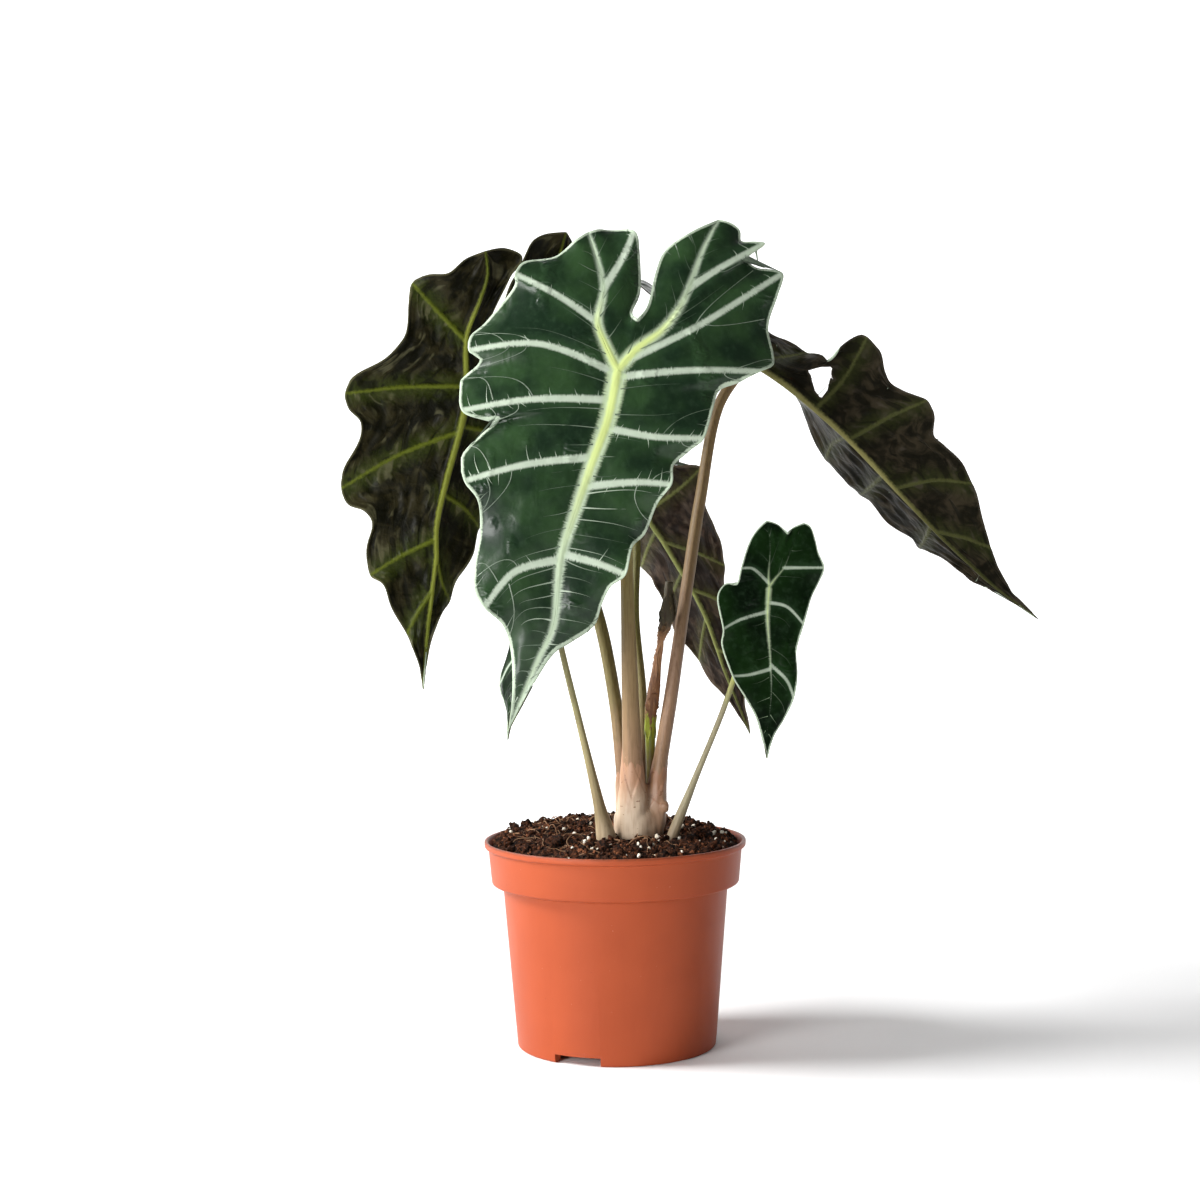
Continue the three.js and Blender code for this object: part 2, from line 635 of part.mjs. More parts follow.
// A flat sheet of shared corners and triangles, all turned the same way up.
class Sheet {
  constructor() {
    this.corners = [];
    this.triangles = [];
    this.index = new Map();
  }

  corner(point, lift, rib) {
    const key = [point.x, point.y].map((n) => Math.round(n * 1000)).join();
    if (!this.index.has(key)) {
      this.index.set(key, this.corners.length);
      this.corners.push({ a: point.x, b: point.y, lift, rib });
    }
    return this.index.get(key);
  }

  // Adds triangles that share one turn, with the upper face up. Those that have shrunk to a line drop out.
  patch(triangles) {
    const kept = triangles.filter(([i, j, k]) => i !== j && j !== k && k !== i);
    const turn = kept.reduce((sum, triangle) => {
      const [p, q, r] = triangle.map((n) => this.corners[n]);
      return sum + (q.a - p.a) * (r.b - p.b) - (r.a - p.a) * (q.b - p.b);
    }, 0);
    this.triangles.push(...kept.map(([i, j, k]) => (turn > 0 ? [i, j, k] : [i, k, j])));
  }

  // Fills the strip between two rows of corners that start and end together.
  zip(one, two) {
    const along = (row) => {
      const sums = [0];
      for (let i = 1; i < row.length; i++) {
        const [p, q] = [this.corners[row[i - 1]], this.corners[row[i]]];
        sums.push(sums[i - 1] + Math.hypot(p.a - q.a, p.b - q.b));
      }
      return sums.map((s) => s / sums[sums.length - 1]);
    };
    const [s, t] = [along(one), along(two)];
    const triangles = [];
    let [i, j] = [0, 0];
    while (i < one.length - 1 || j < two.length - 1) {
      const first = j === two.length - 1 || (i < one.length - 1 && s[i + 1] <= t[j + 1]);
      triangles.push(first ? [one[i], two[j], one[i + 1]] : [one[i], two[j], two[j + 1]]);
      if (first) i++;
      else j++;
    }
    this.patch(triangles);
  }
}

// The vein frame of half a blade: place -1 is the end of the lobe, 0 the joint and 1 the tip.
function spineOf(leaf, half) {
  const lobe = flat([[0, 0], ...half.lobe]);
  const midrib = flat(leaf.midrib);
  const point = (s) => (s < 0 ? lobe.getPointAt(-s) : midrib.getPointAt(s));
  const tries = Array.from({ length: 401 }, (_, i) => i / 200 - 1);
  const nearest = (p) =>
    tries.reduce((best, s) => {
      const better = point(s).distanceTo(p) < point(best).distanceTo(p);
      return better ? s : best;
    }, 0);
  return { point, nearest };
}

// The height and width of the main veins, as a share of those at the joint.
const midribShare = (s) => (s < 0 ? BLADE.lobeVein : 1) * (1 - Math.abs(s)) ** BLADE.thinning;

// Turns a row of bays into veins, each with its place on the spine and on the edge.
function veinsOf(bays, spine, start, end) {
  const edgePoints = [start.corner];
  const veins = [{ place: start.place, edge: 0, real: false }];
  for (const bay of bays) {
    edgePoints.push(...bay.edge);
    if (!bay.vein) continue;
    const [root, bend, tip] = bay.vein;
    const place = spine.nearest(new THREE.Vector2(...root));
    edgePoints.push(tip);
    veins.push({ place, edge: edgePoints.length - 1, bend, real: true });
  }
  edgePoints.push(end.corner);
  veins.push({ place: end.place, edge: edgePoints.length - 1, real: false });
  const curve = flat(edgePoints);
  const edge = (k) => curve.getPoint(k / (edgePoints.length - 1));
  for (const vein of veins) {
    const [root, tip] = [spine.point(vein.place), edge(vein.edge)];
    const middle = vein.bend ? new THREE.Vector2(...vein.bend) : root.clone().lerp(tip, 0.5);
    vein.line = new THREE.SplineCurve([root, middle, tip]);
  }
  return { veins, edge };
}

// A point of the bay between two veins: t runs from one vein to the next, v from the spine to the edge.
function bayPoint(spine, edge, one, two, t, v) {
  const point = one.line.getPoint(v).lerp(two.line.getPoint(v), t);
  const onSpine = spine.point(lerp(one.place, two.place, t));
  onSpine.sub(one.line.getPoint(0).lerp(two.line.getPoint(0), t));
  const onEdge = edge(lerp(one.edge, two.edge, t));
  onEdge.sub(one.line.getPoint(1).lerp(two.line.getPoint(1), t));
  return point.addScaledVector(onSpine, 1 - v).addScaledVector(onEdge, v);
}

// Lays the bays of one side of the spine into the sheet and gives back the row of corners along it.
function layBays(sheet, leaf, spine, { veins, edge }) {
  const scale = scaleOf(leaf);
  const innerRow = [];
  const triangles = [];
  const width = BLADE.midribWidth * scale;
  for (let n = 0; n + 1 < veins.length; n++) {
    const [one, two] = [veins[n], veins[n + 1]];
    const count = Math.max(BLADE.rows, two.edge - one.edge);
    const rows = Array.from({ length: count + 1 }, (_, i) => {
      const step = i / count;
      const s = lerp(one.place, two.place, step);
      const length = bayPoint(spine, edge, one, two, step, 0).distanceTo(edge(lerp(one.edge, two.edge, step)));
      const start = length > 0 ? Math.min((width * midribShare(s)) / length, 0.5) : 0;
      return Array.from({ length: BLADE.columns + 1 }, (_, k) => {
        const v = lerp(start, 1, k / BLADE.columns);
        const gap = one.line.getPoint(v).distanceTo(two.line.getPoint(v));
        const hug = Math.min((BLADE.veinWidth * scale * (1.15 - v)) / Math.max(gap, 0.01), 1 / count);
        const t = one.real && i === 1 ? hug : two.real && i === count - 1 ? 1 - hug : step;
        const onVein = (i === 0 && one.real) || (i === count && two.real);
        const swell = Math.min(1, length / BLADE.waveSpan);
        const wave = leaf.wave * v * v * Math.cos(2 * Math.PI * t);
        const puff = BLADE.pillow * scale * Math.min(1, gap / BLADE.pillowSpan);
        const pillow = puff * Math.sin(Math.PI * t) * Math.sin(Math.PI * v);
        const rib = onVein ? BLADE.veinHeight * scale * (1 - v) ** BLADE.thinning * swell : 0;
        return sheet.corner(bayPoint(spine, edge, one, two, t, v), swell * (wave + pillow), rib);
      });
    });
    for (let r = 0; r < count; r++)
      for (let k = 0; k < BLADE.columns; k++) {
        const [p, q] = [rows[r], rows[r + 1]];
        triangles.push([p[k], q[k], q[k + 1]], [p[k], q[k + 1], p[k + 1]]);
      }
    innerRow.push(...rows.slice(n ? 1 : 0).map((row) => row[0]));
  }
  sheet.patch(triangles);
  return innerRow;
}

// The row of corners along the middle of the spine, raised as a rib that thins towards its ends.
function ribRow(sheet, leaf, spine, end, steps) {
  const height = BLADE.midribHeight * scaleOf(leaf);
  return Array.from({ length: steps + 1 }, (_, i) => {
    const s = (end * i) / steps;
    return sheet.corner(spine.point(s), 0, height * midribShare(s));
  });
}

function layHalf(sheet, leaf, half) {
  const spine = spineOf(leaf, half);
  const notch = { corner: leaf.notch, place: 0 };
  const lobeEnd = { corner: half.lobe[half.lobe.length - 1], place: -1 };
  const tip = { corner: leaf.midrib[leaf.midrib.length - 1], place: 1 };
  const lobeRow = ribRow(sheet, leaf, spine, -1, BLADE.lobeSteps);
  const midribRow = ribRow(sheet, leaf, spine, 1, BLADE.midribSteps);
  const inner = layBays(sheet, leaf, spine, veinsOf(half.inner, spine, notch, lobeEnd));
  const outer = layBays(sheet, leaf, spine, veinsOf(half.outer, spine, lobeEnd, tip));
  sheet.zip([lobeRow[0], ...inner], lobeRow);
  sheet.zip(outer, [...lobeRow.reverse(), ...midribRow.slice(1)]);
}

// Gives the sheet its shape in space and its thickness. Both faces have the same triangles.
function thicken(sheet, leaf) {
  const { joint, down, across, normal } = frameOf(leaf);
  const middle = sheet.corners.map(({ a, b, lift }) => {
    const point = joint.clone().addScaledVector(down, a).addScaledVector(across, b);
    return point.addScaledVector(normal, rise(leaf, a, b) + lift);
  });
  const surface = geometryOf(middle, sheet.triangles);
  surface.computeVertexNormals();
  const count = middle.length;
  const turn = leaf.mirror ? -1 : 1;
  const normals = middle.map((_, i) =>
    new THREE.Vector3().fromBufferAttribute(surface.attributes.normal, i).multiplyScalar(turn),
  );
  const half = halfThickness(leaf);
  const face = (up) =>
    middle.map((point, i) => {
      const rib = sheet.corners[i].rib;
      return point.clone().addScaledVector(normals[i], up ? half + 0.25 * rib : -half - rib);
    });
  const edges = new Map();
  for (const [i, j, k] of sheet.triangles)
    for (const [p, q] of [[i, j], [j, k], [k, i]]) edges.set(p + "," + q, [p, q]);
  const border = [...edges.values()].filter(([p, q]) => !edges.has(q + "," + p));
  const under = sheet.triangles.map(([i, j, k]) => [i + count, k + count, j + count]);
  const rim = border.flatMap(([p, q]) => [[q, p, p + count], [q, p + count, q + count]]);
  const all = [...sheet.triangles, ...under, ...rim];
  const turned = leaf.mirror ? all.map(([i, j, k]) => [i, k, j]) : all;
  return geometryOf([...face(true), ...face(false)], turned);
}

// The prism that leaves the gap of a blade, square to its flat plane.
function gapPrism(leaf) {
  const { joint, down, across, normal } = frameOf(leaf);
  const shape = new THREE.Shape(leaf.gap.map(([a, b]) => new THREE.Vector2(b, a)));
  const prism = new THREE.ExtrudeGeometry(shape, { depth: 2 * CUT_REACH, bevelEnabled: false });
  prism.translate(0, 0, -CUT_REACH);
  const turn = new THREE.Matrix4().makeBasis(across, down, normal.clone().negate()).setPosition(joint);
  return solidOf(prism.applyMatrix4(turn));
}

function makeBlade(leaf) {
  const sheet = new Sheet();
  layHalf(sheet, leaf, leaf.right);
  layHalf(sheet, leaf, leaf.left);
  const blade = thicken(sheet, leaf);
  return leaf.gap ? geometryFrom(solidOf(blade).subtract(gapPrism(leaf))) : blade;
}

// ---------- the plant in its pot ----------

const group = new THREE.Group();
const names = Object.keys(LEAVES);
const faceColour = { left: "under", right: "under", back: "under" };

const stalkTools = Object.fromEntries(names.map((name) => [name, solidOf(makeStalk(name, GAP))]));
const cormFed = ["front", "left", "right", "back"].map((name) => stalkTools[name]);
const soilFed = ["small_right", "small_left"].map((name) => stalkTools[name]);
const shootTool = solidOf(makeShoot(SHOOT, GAP));

group.add(meshOf("pot", makePot(), "pot"));
group.add(meshOf("soil", makeSoil([solidOf(makeCorm(GAP)), ...soilFed]), "soil"));
group.add(meshOf("corm", geometryFrom(cutAll(solidOf(makeCorm()), [...cormFed, shootTool])), "corm"));
group.add(meshOf("green_shoot", makeShoot(SHOOT), "shoot"));
group.add(meshOf("withered_sheath", makeShoot(WITHERED), "withered"));
for (const name of names) {
  group.add(meshOf("stalk_" + name, makeStalk(name), "stalk"));
  group.add(meshOf("leaf_" + name, makeBlade(LEAVES[name]), faceColour[name] ?? "upper"));
}

export default group;
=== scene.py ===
"""The looks of the potted alocasia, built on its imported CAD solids.

Leaf blades, stalks, corm, shoots, soil and pot are finer pieces in the form and place of their solids.
Shapes are written in millimetres, in the CAD's frame, and turned into metres when a mesh is made.
"""

import math
from types import SimpleNamespace as Sizes

import bmesh
import bpy
import numpy as np
from mathutils import Matrix
from mathutils.kdtree import KDTree


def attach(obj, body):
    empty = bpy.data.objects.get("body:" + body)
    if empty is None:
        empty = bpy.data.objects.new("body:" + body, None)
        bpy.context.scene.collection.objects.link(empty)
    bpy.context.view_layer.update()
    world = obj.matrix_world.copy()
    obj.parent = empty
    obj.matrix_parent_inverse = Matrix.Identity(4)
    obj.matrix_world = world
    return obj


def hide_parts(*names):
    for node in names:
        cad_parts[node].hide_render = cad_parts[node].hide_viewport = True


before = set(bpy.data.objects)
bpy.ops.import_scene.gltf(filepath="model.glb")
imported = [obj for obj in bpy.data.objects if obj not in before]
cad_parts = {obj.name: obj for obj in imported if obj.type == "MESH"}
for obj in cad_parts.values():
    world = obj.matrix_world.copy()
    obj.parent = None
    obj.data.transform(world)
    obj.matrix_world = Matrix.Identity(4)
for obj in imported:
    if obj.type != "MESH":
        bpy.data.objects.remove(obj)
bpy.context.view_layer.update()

MM = 0.001
FULL_TURN = 2 * np.pi

# ---------- sizes, in mm ----------

POT = Sizes(
    height=95, lip_radius=60.2, lip_height=3,
    band_top_radius=58.4, band_bottom_radius=56.9, band_height=20,
    body_top_radius=51.8, body_bottom_radius=45.8, wall=1.5,
    foot_height=4, foot_width=4, pad_radius=12, floor=1.8, edge_rounding=1.1,
    holes=6, hole_radius=4, hole_circle=27, hole_angle=30,
    notches=3, notch_arc=28, notch_angle=-113.6, segments=192,
)
SOIL = Sizes(top=94.2, radius=56.2, crown=1.6, back_rise=4, back_from=-20, back_to=60, depth=9)
CORM = Sizes(
    place=np.array([10.4, 0]), foot=88, top=111.5, radius=10.9, taper=0.1, ridges=5, twist=3, shoulder=0.3,
    bud=[2.2, 2.2, 3.0], bud_place=[22.9, -5.6, 110.5], cell=0.5,
)
# the wrapped base of each stalk on the corm: how high it stands, and how much wider than the stalk it is
SHEATHS = {"front": (150, 2.0), "right": (146, 1.7), "left": (138, 1.2), "back": (128, 1.2)}
# the pointed edges on the corm: angle and height of the lowest point, slope in mm a degree, and step
WRAPS = [
    (-104, 115, 0.5, 0.4), (-48, 109, 0.4, 0.3), (-5, 104, 0.3, 0.3), (95, 106, 0.3, 0.3),
    (170, 104, 0.35, 0.25),
]

# A stalk: its path from the foot to the neck, and its radius at each point of the path and at the blade.
STALKS = {
    "front": (
        "8.3 -4 104, 8.4 -4.2 126, 7.6 -6 160, 6.8 -9 200, 6 -13 250, 5 -19 288",
        [5.4, 4.9, 4, 3.3, 2.9, 2.6, 2.5, 2.5],
    ),
    "left": (
        "5 5.2 104, 4 5.8 126, 0.4 8.5 160, -7.6 14 200, -25 22 245, -48 28 282",
        [3.6, 3.5, 3.1, 2.8, 2.6, 2.5, 2.4, 2.4],
    ),
    "right": (
        "18.2 -1.2 104, 20.6 0.4 126, 26.5 5 160, 33 12 200, 41.5 24 250, 51.5 40 295",
        [3.9, 3.5, 3.1, 2.9, 2.8, 2.7, 2.5, 2.5],
    ),
    "back": (
        "11.5 7.6 104, 13.2 11 130, 13.6 19 160, 10.8 32 195, 12 44 226",
        [2.8, 2.6, 2.3, 2.1, 2, 1.9, 1.9],
    ),
    "small_right": (
        "21.5 -12 82, 25.4 -13 96, 35.6 -15 122, 49.6 -16 156, 60 -15 186",
        [2.8, 2.7, 1.7, 1.4, 1.3, 1.3, 1.3],
    ),
    "small_left": (
        "-3 -9 82, -4.2 -9.6 97, -7.2 -10.8 112, -15.7 -14 150, -23.4 -18 184",
        [4.6, 4.7, 2.8, 1.6, 1.4, 1.4, 1.4],
    ),
}
NECK = 6  # how far below the blade the stalk's last bend is
BAR = Sizes(steps=120, sides=28)
SHOOT = ("15.6 4.8 106, 16.5 5 124, 16.7 5 147", [1.6, 2.1, 2.4])
WITHERED = (
    "16.8 5 147.4, 17.4 5 155, 18.6 5 163, 21.2 5 180, 22.6 5 188, 25 5 198, 26.1 5 213",
    [2.4, 2.9, 2.7, 1.4, 1.5, 2.4, 1.6],
)
# the scraps of the withered sheath: start and end along the path, angle, and how far it stands off
SCRAPS = [
    (0.3, 0.62, 200, 0.6), (0.62, 0.8, 320, 1.5), (0.66, 0.97, 150, 1.5), (0.7, 0.99, 20, 1.9),
    (0.58, 0.9, 250, 1.0), (0.66, 0.99, 285, 1.7), (0.05, 0.36, 280, 0.35),
]

BLADE = Sizes(
    thickness=0.7, edge_thickness=0.35, least_thin=0.9,
    full_length=140,  # the veins of a shorter blade are smaller
    midrib_height=2.2, midrib_width=2.4, vein_height=0.8, vein_width=1.3, lobe_vein=0.75, thinning=0.8,
    pillow=1.6, pillow_span=20, wave_span=15, fold_rounding=3,
    calm=3,  # how far from a vein the swellings and folds reach their full depth
    columns=46,  # how many rows of points there are from the spine to the edge
    beside_vein=[0.7, 1.5, 2.6],  # where the first rows of points beside a vein are
    upper_rib=0.35, bead=0.18, bead_width=0.9, under_bead=0.6, edge_rounding=0.16,
    quilt=0.22,  # depth of the small swellings between the thin cross veins
    pucker={"left": 0.75, "right": 1.0, "back": 0.7},  # depth of the folds square to the side veins
    pucker_size=[4.5, 10],  # how far apart they are along the side veins and across them
)
# half the painted widths of the veins on a full-sized blade
PAINTED = Sizes(
    vein_root=1.7, vein_end=1.0, spine_root=4.0, spine_end=0.5, core=2.0, under_spine=1.5, under_vein=0.9,
    fresh=74,  # how far the yellow-green goes along the midrib
    lobe_run=170,  # the length that a lobe vein counts for
)
THIN = Sizes(
    height=0.16, clear=0.05,  # how high a thin vein's crown and its edges stand
    rungs=9, low_rungs=5.6, ticks=9,  # how far apart those from the midrib and from the edge are
    sparse=0.45,  # the share of them on a small blade
)
# the greatest size of the triangles of each blade
CELL = {"front": 1.5, "left": 1.8, "right": 1.8, "back": 1.8, "small_right": 1.1, "small_left": 1.3}

# The blades, drawn flat: points "a b", a from the joint towards the tip and b to the right of the upper face.
# A half has a lobe vein behind the joint and two rows of bays along its edge. A bay is its points on the edge
# and then, after a bar, the vein that closes it: its root, its bend and its end at the edge.
# fold is how steeply a half rises from the midrib: [near the joint, near the tip, from a, to a].
SMALL_BLADE = dict(
    droop=6, back=6, arch=3, wave=1.5,
    midrib="0 0, 15 -1, 35 0, 50 0, 66 -2, 77 -2",
    notch=[-25, 9],
    right=dict(
        fold=[0.12, 0.12, 0, 1],
        lobe="-4 3, -9 7, -16 10, -23 13, -30 17",
        inner=["-28 12"],
        outer=[
            "-28 20, -22 22, -16 23 | -9 7, -9 16, -9 25",
            "-3 23, 5 19 | 7 1, 9 8, 17 15",
            "28 12, 39 12 | 35 0, 42 7, 50 10",
            "59 6, 67 1",
        ],
    ),
    left=dict(
        fold=[0.12, 0.12, 0, 1],
        lobe="-6 0, -16 1, -22 1, -31 0",
        inner=["-29 6"],
        outer=[
            "-26 -5, -19 -9 | -2 -1, -8 -7, -8 -13",
            "-1 -15, -1 -20, 6 -24 | 11 -2, 15 -13, 20 -22",
            "27 -22 | 37 -1, 40 -10, 41 -18",
            "50 -12, 58 -7, 68 -4",
        ],
    ),
)

LEAVES = {
    "front": dict(
        joint=[3, -34, 308], down=[-0.24, -0.3, -0.92], face=[0.1, -0.93, 0.36],
        droop=12, back=14, arch=9, wave=3,
        midrib="0 0, 23 1, 44 -1, 68 -3, 88 -4, 115 0, 132 -3, 163 -8",
        notch=[-25, 3],
        right=dict(
            fold=[0.12, 0.12, 0, 1],
            lobe="-12 6, -24 15, -41 21, -68 24, -87 28",
            inner=["-34 6, -53 6, -65 8, -76 17"],
            outer=[
                "-86 38, -80 41 | -47 23, -62 34, -81 51",
                "-73 45, -69 51 | -3 6, -31 31, -69 62",
                "-58 62, -43 61, -31 66, -24 67 | 3 5, -8 31, -18 62",
                "-11 54, -5 46, 5 45 | 27 3, 26 23, 21 44",
                "27 39, 35 34 | 55 4, 48 19, 45 35",
                "54 31, 67 29, 75 25 | 85 0, 86 12, 88 25",
                "94 20, 102 18, 111 17, 120 9, 126 3, 136 -1, 147 -4",
            ],
        ),
        left=dict(
            fold=[0.12, 0.12, 0, 1],
            lobe="-10 -8, -20 -14, -36 -15, -52 -22, -63 -28",
            inner=[
                "-29 0, -42 1, -61 -4 | -36 -15, -54 -10, -68 -8",
                "-68 -18",
            ],
            outer=[
                "-57 -33, -48 -40, -42 -52 | -19 -16, -28 -35, -34 -55",
                "-28 -54, -11 -62, -2 -67 | 2 -4, -3 -36, 6 -66",
                "9 -60, 16 -65, 21 -66 | 14 -5, 23 -34, 34 -62",
                "36 -51, 34 -46, 43 -52, 54 -57 | 40 -6, 52 -29, 65 -53",
                "72 -45, 84 -41, 97 -40, 109 -37 | 88 -7, 98 -22, 116 -31",
                "121 -21, 130 -15, 147 -10",
            ],
        ),
    ),
    "left": dict(
        joint=[-68, 40, 303], down=[-0.13, 0.17, -0.97], face=[-0.35, 0.9, 0.2],
        droop=8, back=10, arch=3, wave=3,
        midrib="0 0, 15 1, 43 6, 65 9, 81 8, 96 9, 115 10, 143 11",
        notch=[-25, -7],
        right=dict(
            fold=[0.3, 0.35, 0, 80],
            lobe="-14 2, -28 3, -44 -1, -56 -3, -67 0",
            inner=["-37 -9, -49 -12.5, -57 -15, -63 -19, -67 -18.5, -69 -10"],
            outer=[
                "-62 9, -55 16, -53 24 | -24 3, -36 17, -48 30",
                "-39 31, -28 31, -21 33, -11 40, -2 52 | -2 4, 1 29, 7 55",
                "14 53, 19 48, 28 48, 42 53 | 19 4, 33 28, 52 53",
                "59 50, 61 43, 67 39, 80 40 | 71 10, 81 24, 92 37",
                "95 32, 105 28 | 96 9, 107 15, 118 19",
                "124 17, 133 13",
            ],
        ),
        left=dict(
            fold=[0.3, 0.35, 0, 80],
            lobe="-9 -8, -23 -19, -43 -31, -62 -39, -79 -42",
            inner=["-36 -13, -51 -15.5, -59 -18, -66 -20.5, -73 -24, -77 -31"],
            outer=[
                "-74 -47, -66 -51, -54 -50, -45 -61 | -23 -19, -31 -41, -33 -68",
                "-22 -61, -9 -65 | -3 -3, -3 -32, 3 -64",
                "11 -52, 25 -51 | 16 2, 22 -24, 37 -47",
                "43 -34, 53 -27 | 50 7, 57 -6, 67 -16",
                "78 -12, 90 -4 | 81 8, 92 4, 102 -2",
                "110 5, 123 9",
            ],
        ),
    ),
    "right": dict(
        joint=[66.5, 52, 318], down=[0.72, 0.25, -0.64], face=[0.44, 0.55, 0.71],
        droop=4, back=30, arch=0, wave=1.5,
        midrib="0 0, 12 -4, 30 -7, 62 -9, 97 -8, 127 -8, 151 -10, 169 -13, 192 -21",
        notch=[-24, -1],
        # an opening where the edges of two waves meet and leave a space below them
        gap="22.5 -18.5, 26 -24.5, 29 -28, 36.5 -18.5, 37.5 -14, 35.5 -13",
        right=dict(
            fold=[0.85, 0.36, 34, 80],
            lobe="-16 6, -34 15, -50 22, -61 27",
            inner=["-34 4, -46 7, -56 14"],
            outer=[
                "-60 38 | -28 12, -39 32, -50 47",
                "-38 44, -26 38 | -5 2, -8 22, -10 42",
                "0 37 | 14 -4, 14 16, 18 38",
                "28 32 | 36 -7, 40 16, 46 33",
                "58 31 | 60 -9, 66 14, 75 34",
                "88 28 | 88 -8, 95 14, 100 32",
                "105 25, 118 26, 130 21 | 124 -8, 132 8, 139 24",
                "144 12, 152 3, 162 -2, 176 -13",
            ],
        ),
        left=dict(
            fold=[-0.25, 0.4, 8, 26],
            lobe="-16 -5, -34 -13, -50 -21, -60 -25",
            inner=["-34 -5, -46 -9, -56 -17"],
            outer=[
                "-61 -35 | -28 -11, -40 -30, -51 -48",
                "-40 -52, -26 -44, -10 -35, 0 -38 | 2 -1, 6 -22, 9 -39",
                "17 -33, 24 -29.5, 25 -33.5, 23 -40, 24 -45.5 | 40 -8, 37 -28, 28.5 -49.5",
                "38 -49.5, 46 -46, 53 -44, 60 -45 | 62 -9, 66 -32, 71 -49",
                "79 -47, 86 -42, 94 -42, 106 -41 | 96 -8, 105 -25, 118 -37",
                "126 -35, 136 -30 | 127 -8, 138 -17, 150 -23",
                "161 -21, 176 -19",
            ],
        ),
    ),
    "back": dict(
        joint=[17, 60, 247], down=[0.38, 0.25, -0.89], face=[0.6, 0.62, 0.45],
        droop=6, back=8, arch=0, wave=2,
        midrib="0 0, 9 0, 19 -3, 33 -6, 45 -9, 61 -11, 78 -11, 93 -11, 123 -14",
        notch=[-19, -10],
        right=dict(
            fold=[0.1, 0.1, 0, 1],
            lobe="-9 2, -22 5, -34 7, -45 8",
            inner=["-28 -6, -38 -3, -44 2"],
            outer=[
                "-42 14 | -22 5, -28 14, -32 21",
                "-24 19, -12 24 | 1 1, 1 17, 3 31",
                "11 24, 22 27 | 12 -2, 22 12, 33 25",
                "38 17, 45 16 | 36 -6, 46 6, 57 18",
                "66 15, 74 10 | 61 -11, 72 -2, 85 8",
                "92 3, 100 -5, 112 -10",
            ],
        ),
        left=dict(
            fold=[0.2, 0.2, 0, 1],
            lobe="-8 -9, -19 -19, -31 -26, -42 -30",
            inner=["-28 -14, -38 -21"],
            outer=[
                "-38 -36 | -19 -19, -23 -28, -26 -35",
                "-19 -27 | 2 0, -6 -23, -13 -37",
                "3 -33, 14 -34.5, 23 -33 | 19 -3, 28 -19, 37 -29.5",
                "46 -28.5 | 45 -9, 53 -21, 61 -27",
                "73 -23 | 78 -11, 82 -18, 88 -20",
                "103 -18, 113 -16",
            ],
        ),
    ),
    "small_right": dict(
        joint=[70, -22, 211], down=[0, -0.25, -0.97], face=[0.15, -0.93, 0.24],
        **SMALL_BLADE,
    ),
    "small_left": dict(
        joint=[-35, -19, 216], down=[-0.2, -0.4, -0.87], face=[-0.85, -0.45, 0.25],
        mirror=True,
        **SMALL_BLADE,
    ),
}
# ---------- helpers ----------


def points_of(text):
    """The points written in a text, with commas between them."""
    return [[float(number) for number in point.split()] for point in text.split(",")]


def smooth(x, low, high):
    """0 below low, 1 above high, and a smooth step between them."""
    t = np.clip((x - low) / (high - low), 0, 1)
    return t * t * (3 - 2 * t)


def mix(a, b, t):
    return a + (b - a) * t


def unit(v):
    v = np.asarray(v, float)
    return v / np.maximum(np.linalg.norm(v, axis=-1, keepdims=True), 1e-9)


def circle(count):
    """Angles spread evenly round a circle."""
    return np.arange(count) * FULL_TURN / count


def around(angle):
    """The point of a circle of radius 1 at each angle."""
    return np.stack([np.cos(angle), np.sin(angle)], -1)


def run_of(line):
    """How far each point of a line is from its start, along the line."""
    return np.r_[0, np.cumsum(np.linalg.norm(np.diff(line, axis=0), axis=1))]


def noise(points, size, seed):
    """Smooth seeded noise between -1 and 1 at points in space, with lumps of about the given size."""
    p = np.asarray(points, float) / size
    cell = np.floor(p).astype(np.int64)
    w = p - cell
    w = w * w * (3 - 2 * w)
    total = 0
    for corner in np.ndindex(2, 2, 2):
        at = cell + corner
        key = at[..., 0] * 73856093 ^ at[..., 1] * 19349663 ^ at[..., 2] * 83492791 ^ seed * 2654435761
        key = (key ^ (key >> 13)) * 1274126177 & 0x7FFFFFFF
        value = ((key ^ (key >> 16)) & 0xFFFF) / 32767.5 - 1
        total = total + value * np.prod(np.where(corner, w, 1 - w), axis=-1)
    return total


def hermite(start, end, leaving, arriving, w):
    """A curve between two points from its directions there."""
    bend, turn = 2 * (start - end) + leaving + arriving, 3 * (end - start) - 2 * leaving - arriving
    return bend * w**3 + turn * w**2 + leaving * w + start


class Spline:
    """A smooth curve through points: at() goes evenly from point to point, along() evenly by length."""

    STEPS = 200

    def __init__(self, points):
        self.points = np.array(points, float)
        self.last = len(points) - 1
        self.places = np.linspace(0, 1, self.STEPS + 1)
        self.run = run_of(self.at(self.places))

    def at(self, place):
        k = np.clip(np.asarray(place, float), 0, 1) * self.last
        i = np.minimum(k.astype(int), self.last - 1)
        p0, p1, p2, p3 = (self.points[np.clip(i + n, 0, self.last)] for n in (-1, 0, 1, 2))
        return hermite(p1, p2, (p2 - p0) / 2, (p3 - p1) / 2, (k - i)[..., None])

    def along(self, share):
        return self.at(np.interp(np.asarray(share, float) * self.run[-1], self.run, self.places))


def link(name, data):
    made = bpy.data.objects.new(name, data)
    bpy.context.scene.collection.objects.link(made)
    return made


def set_value(mesh, key, numbers):
    """Stores one number per point, for a material to read."""
    mesh.attributes.new(key, "FLOAT", "POINT").data.foreach_set("value", np.asarray(numbers, np.float32))


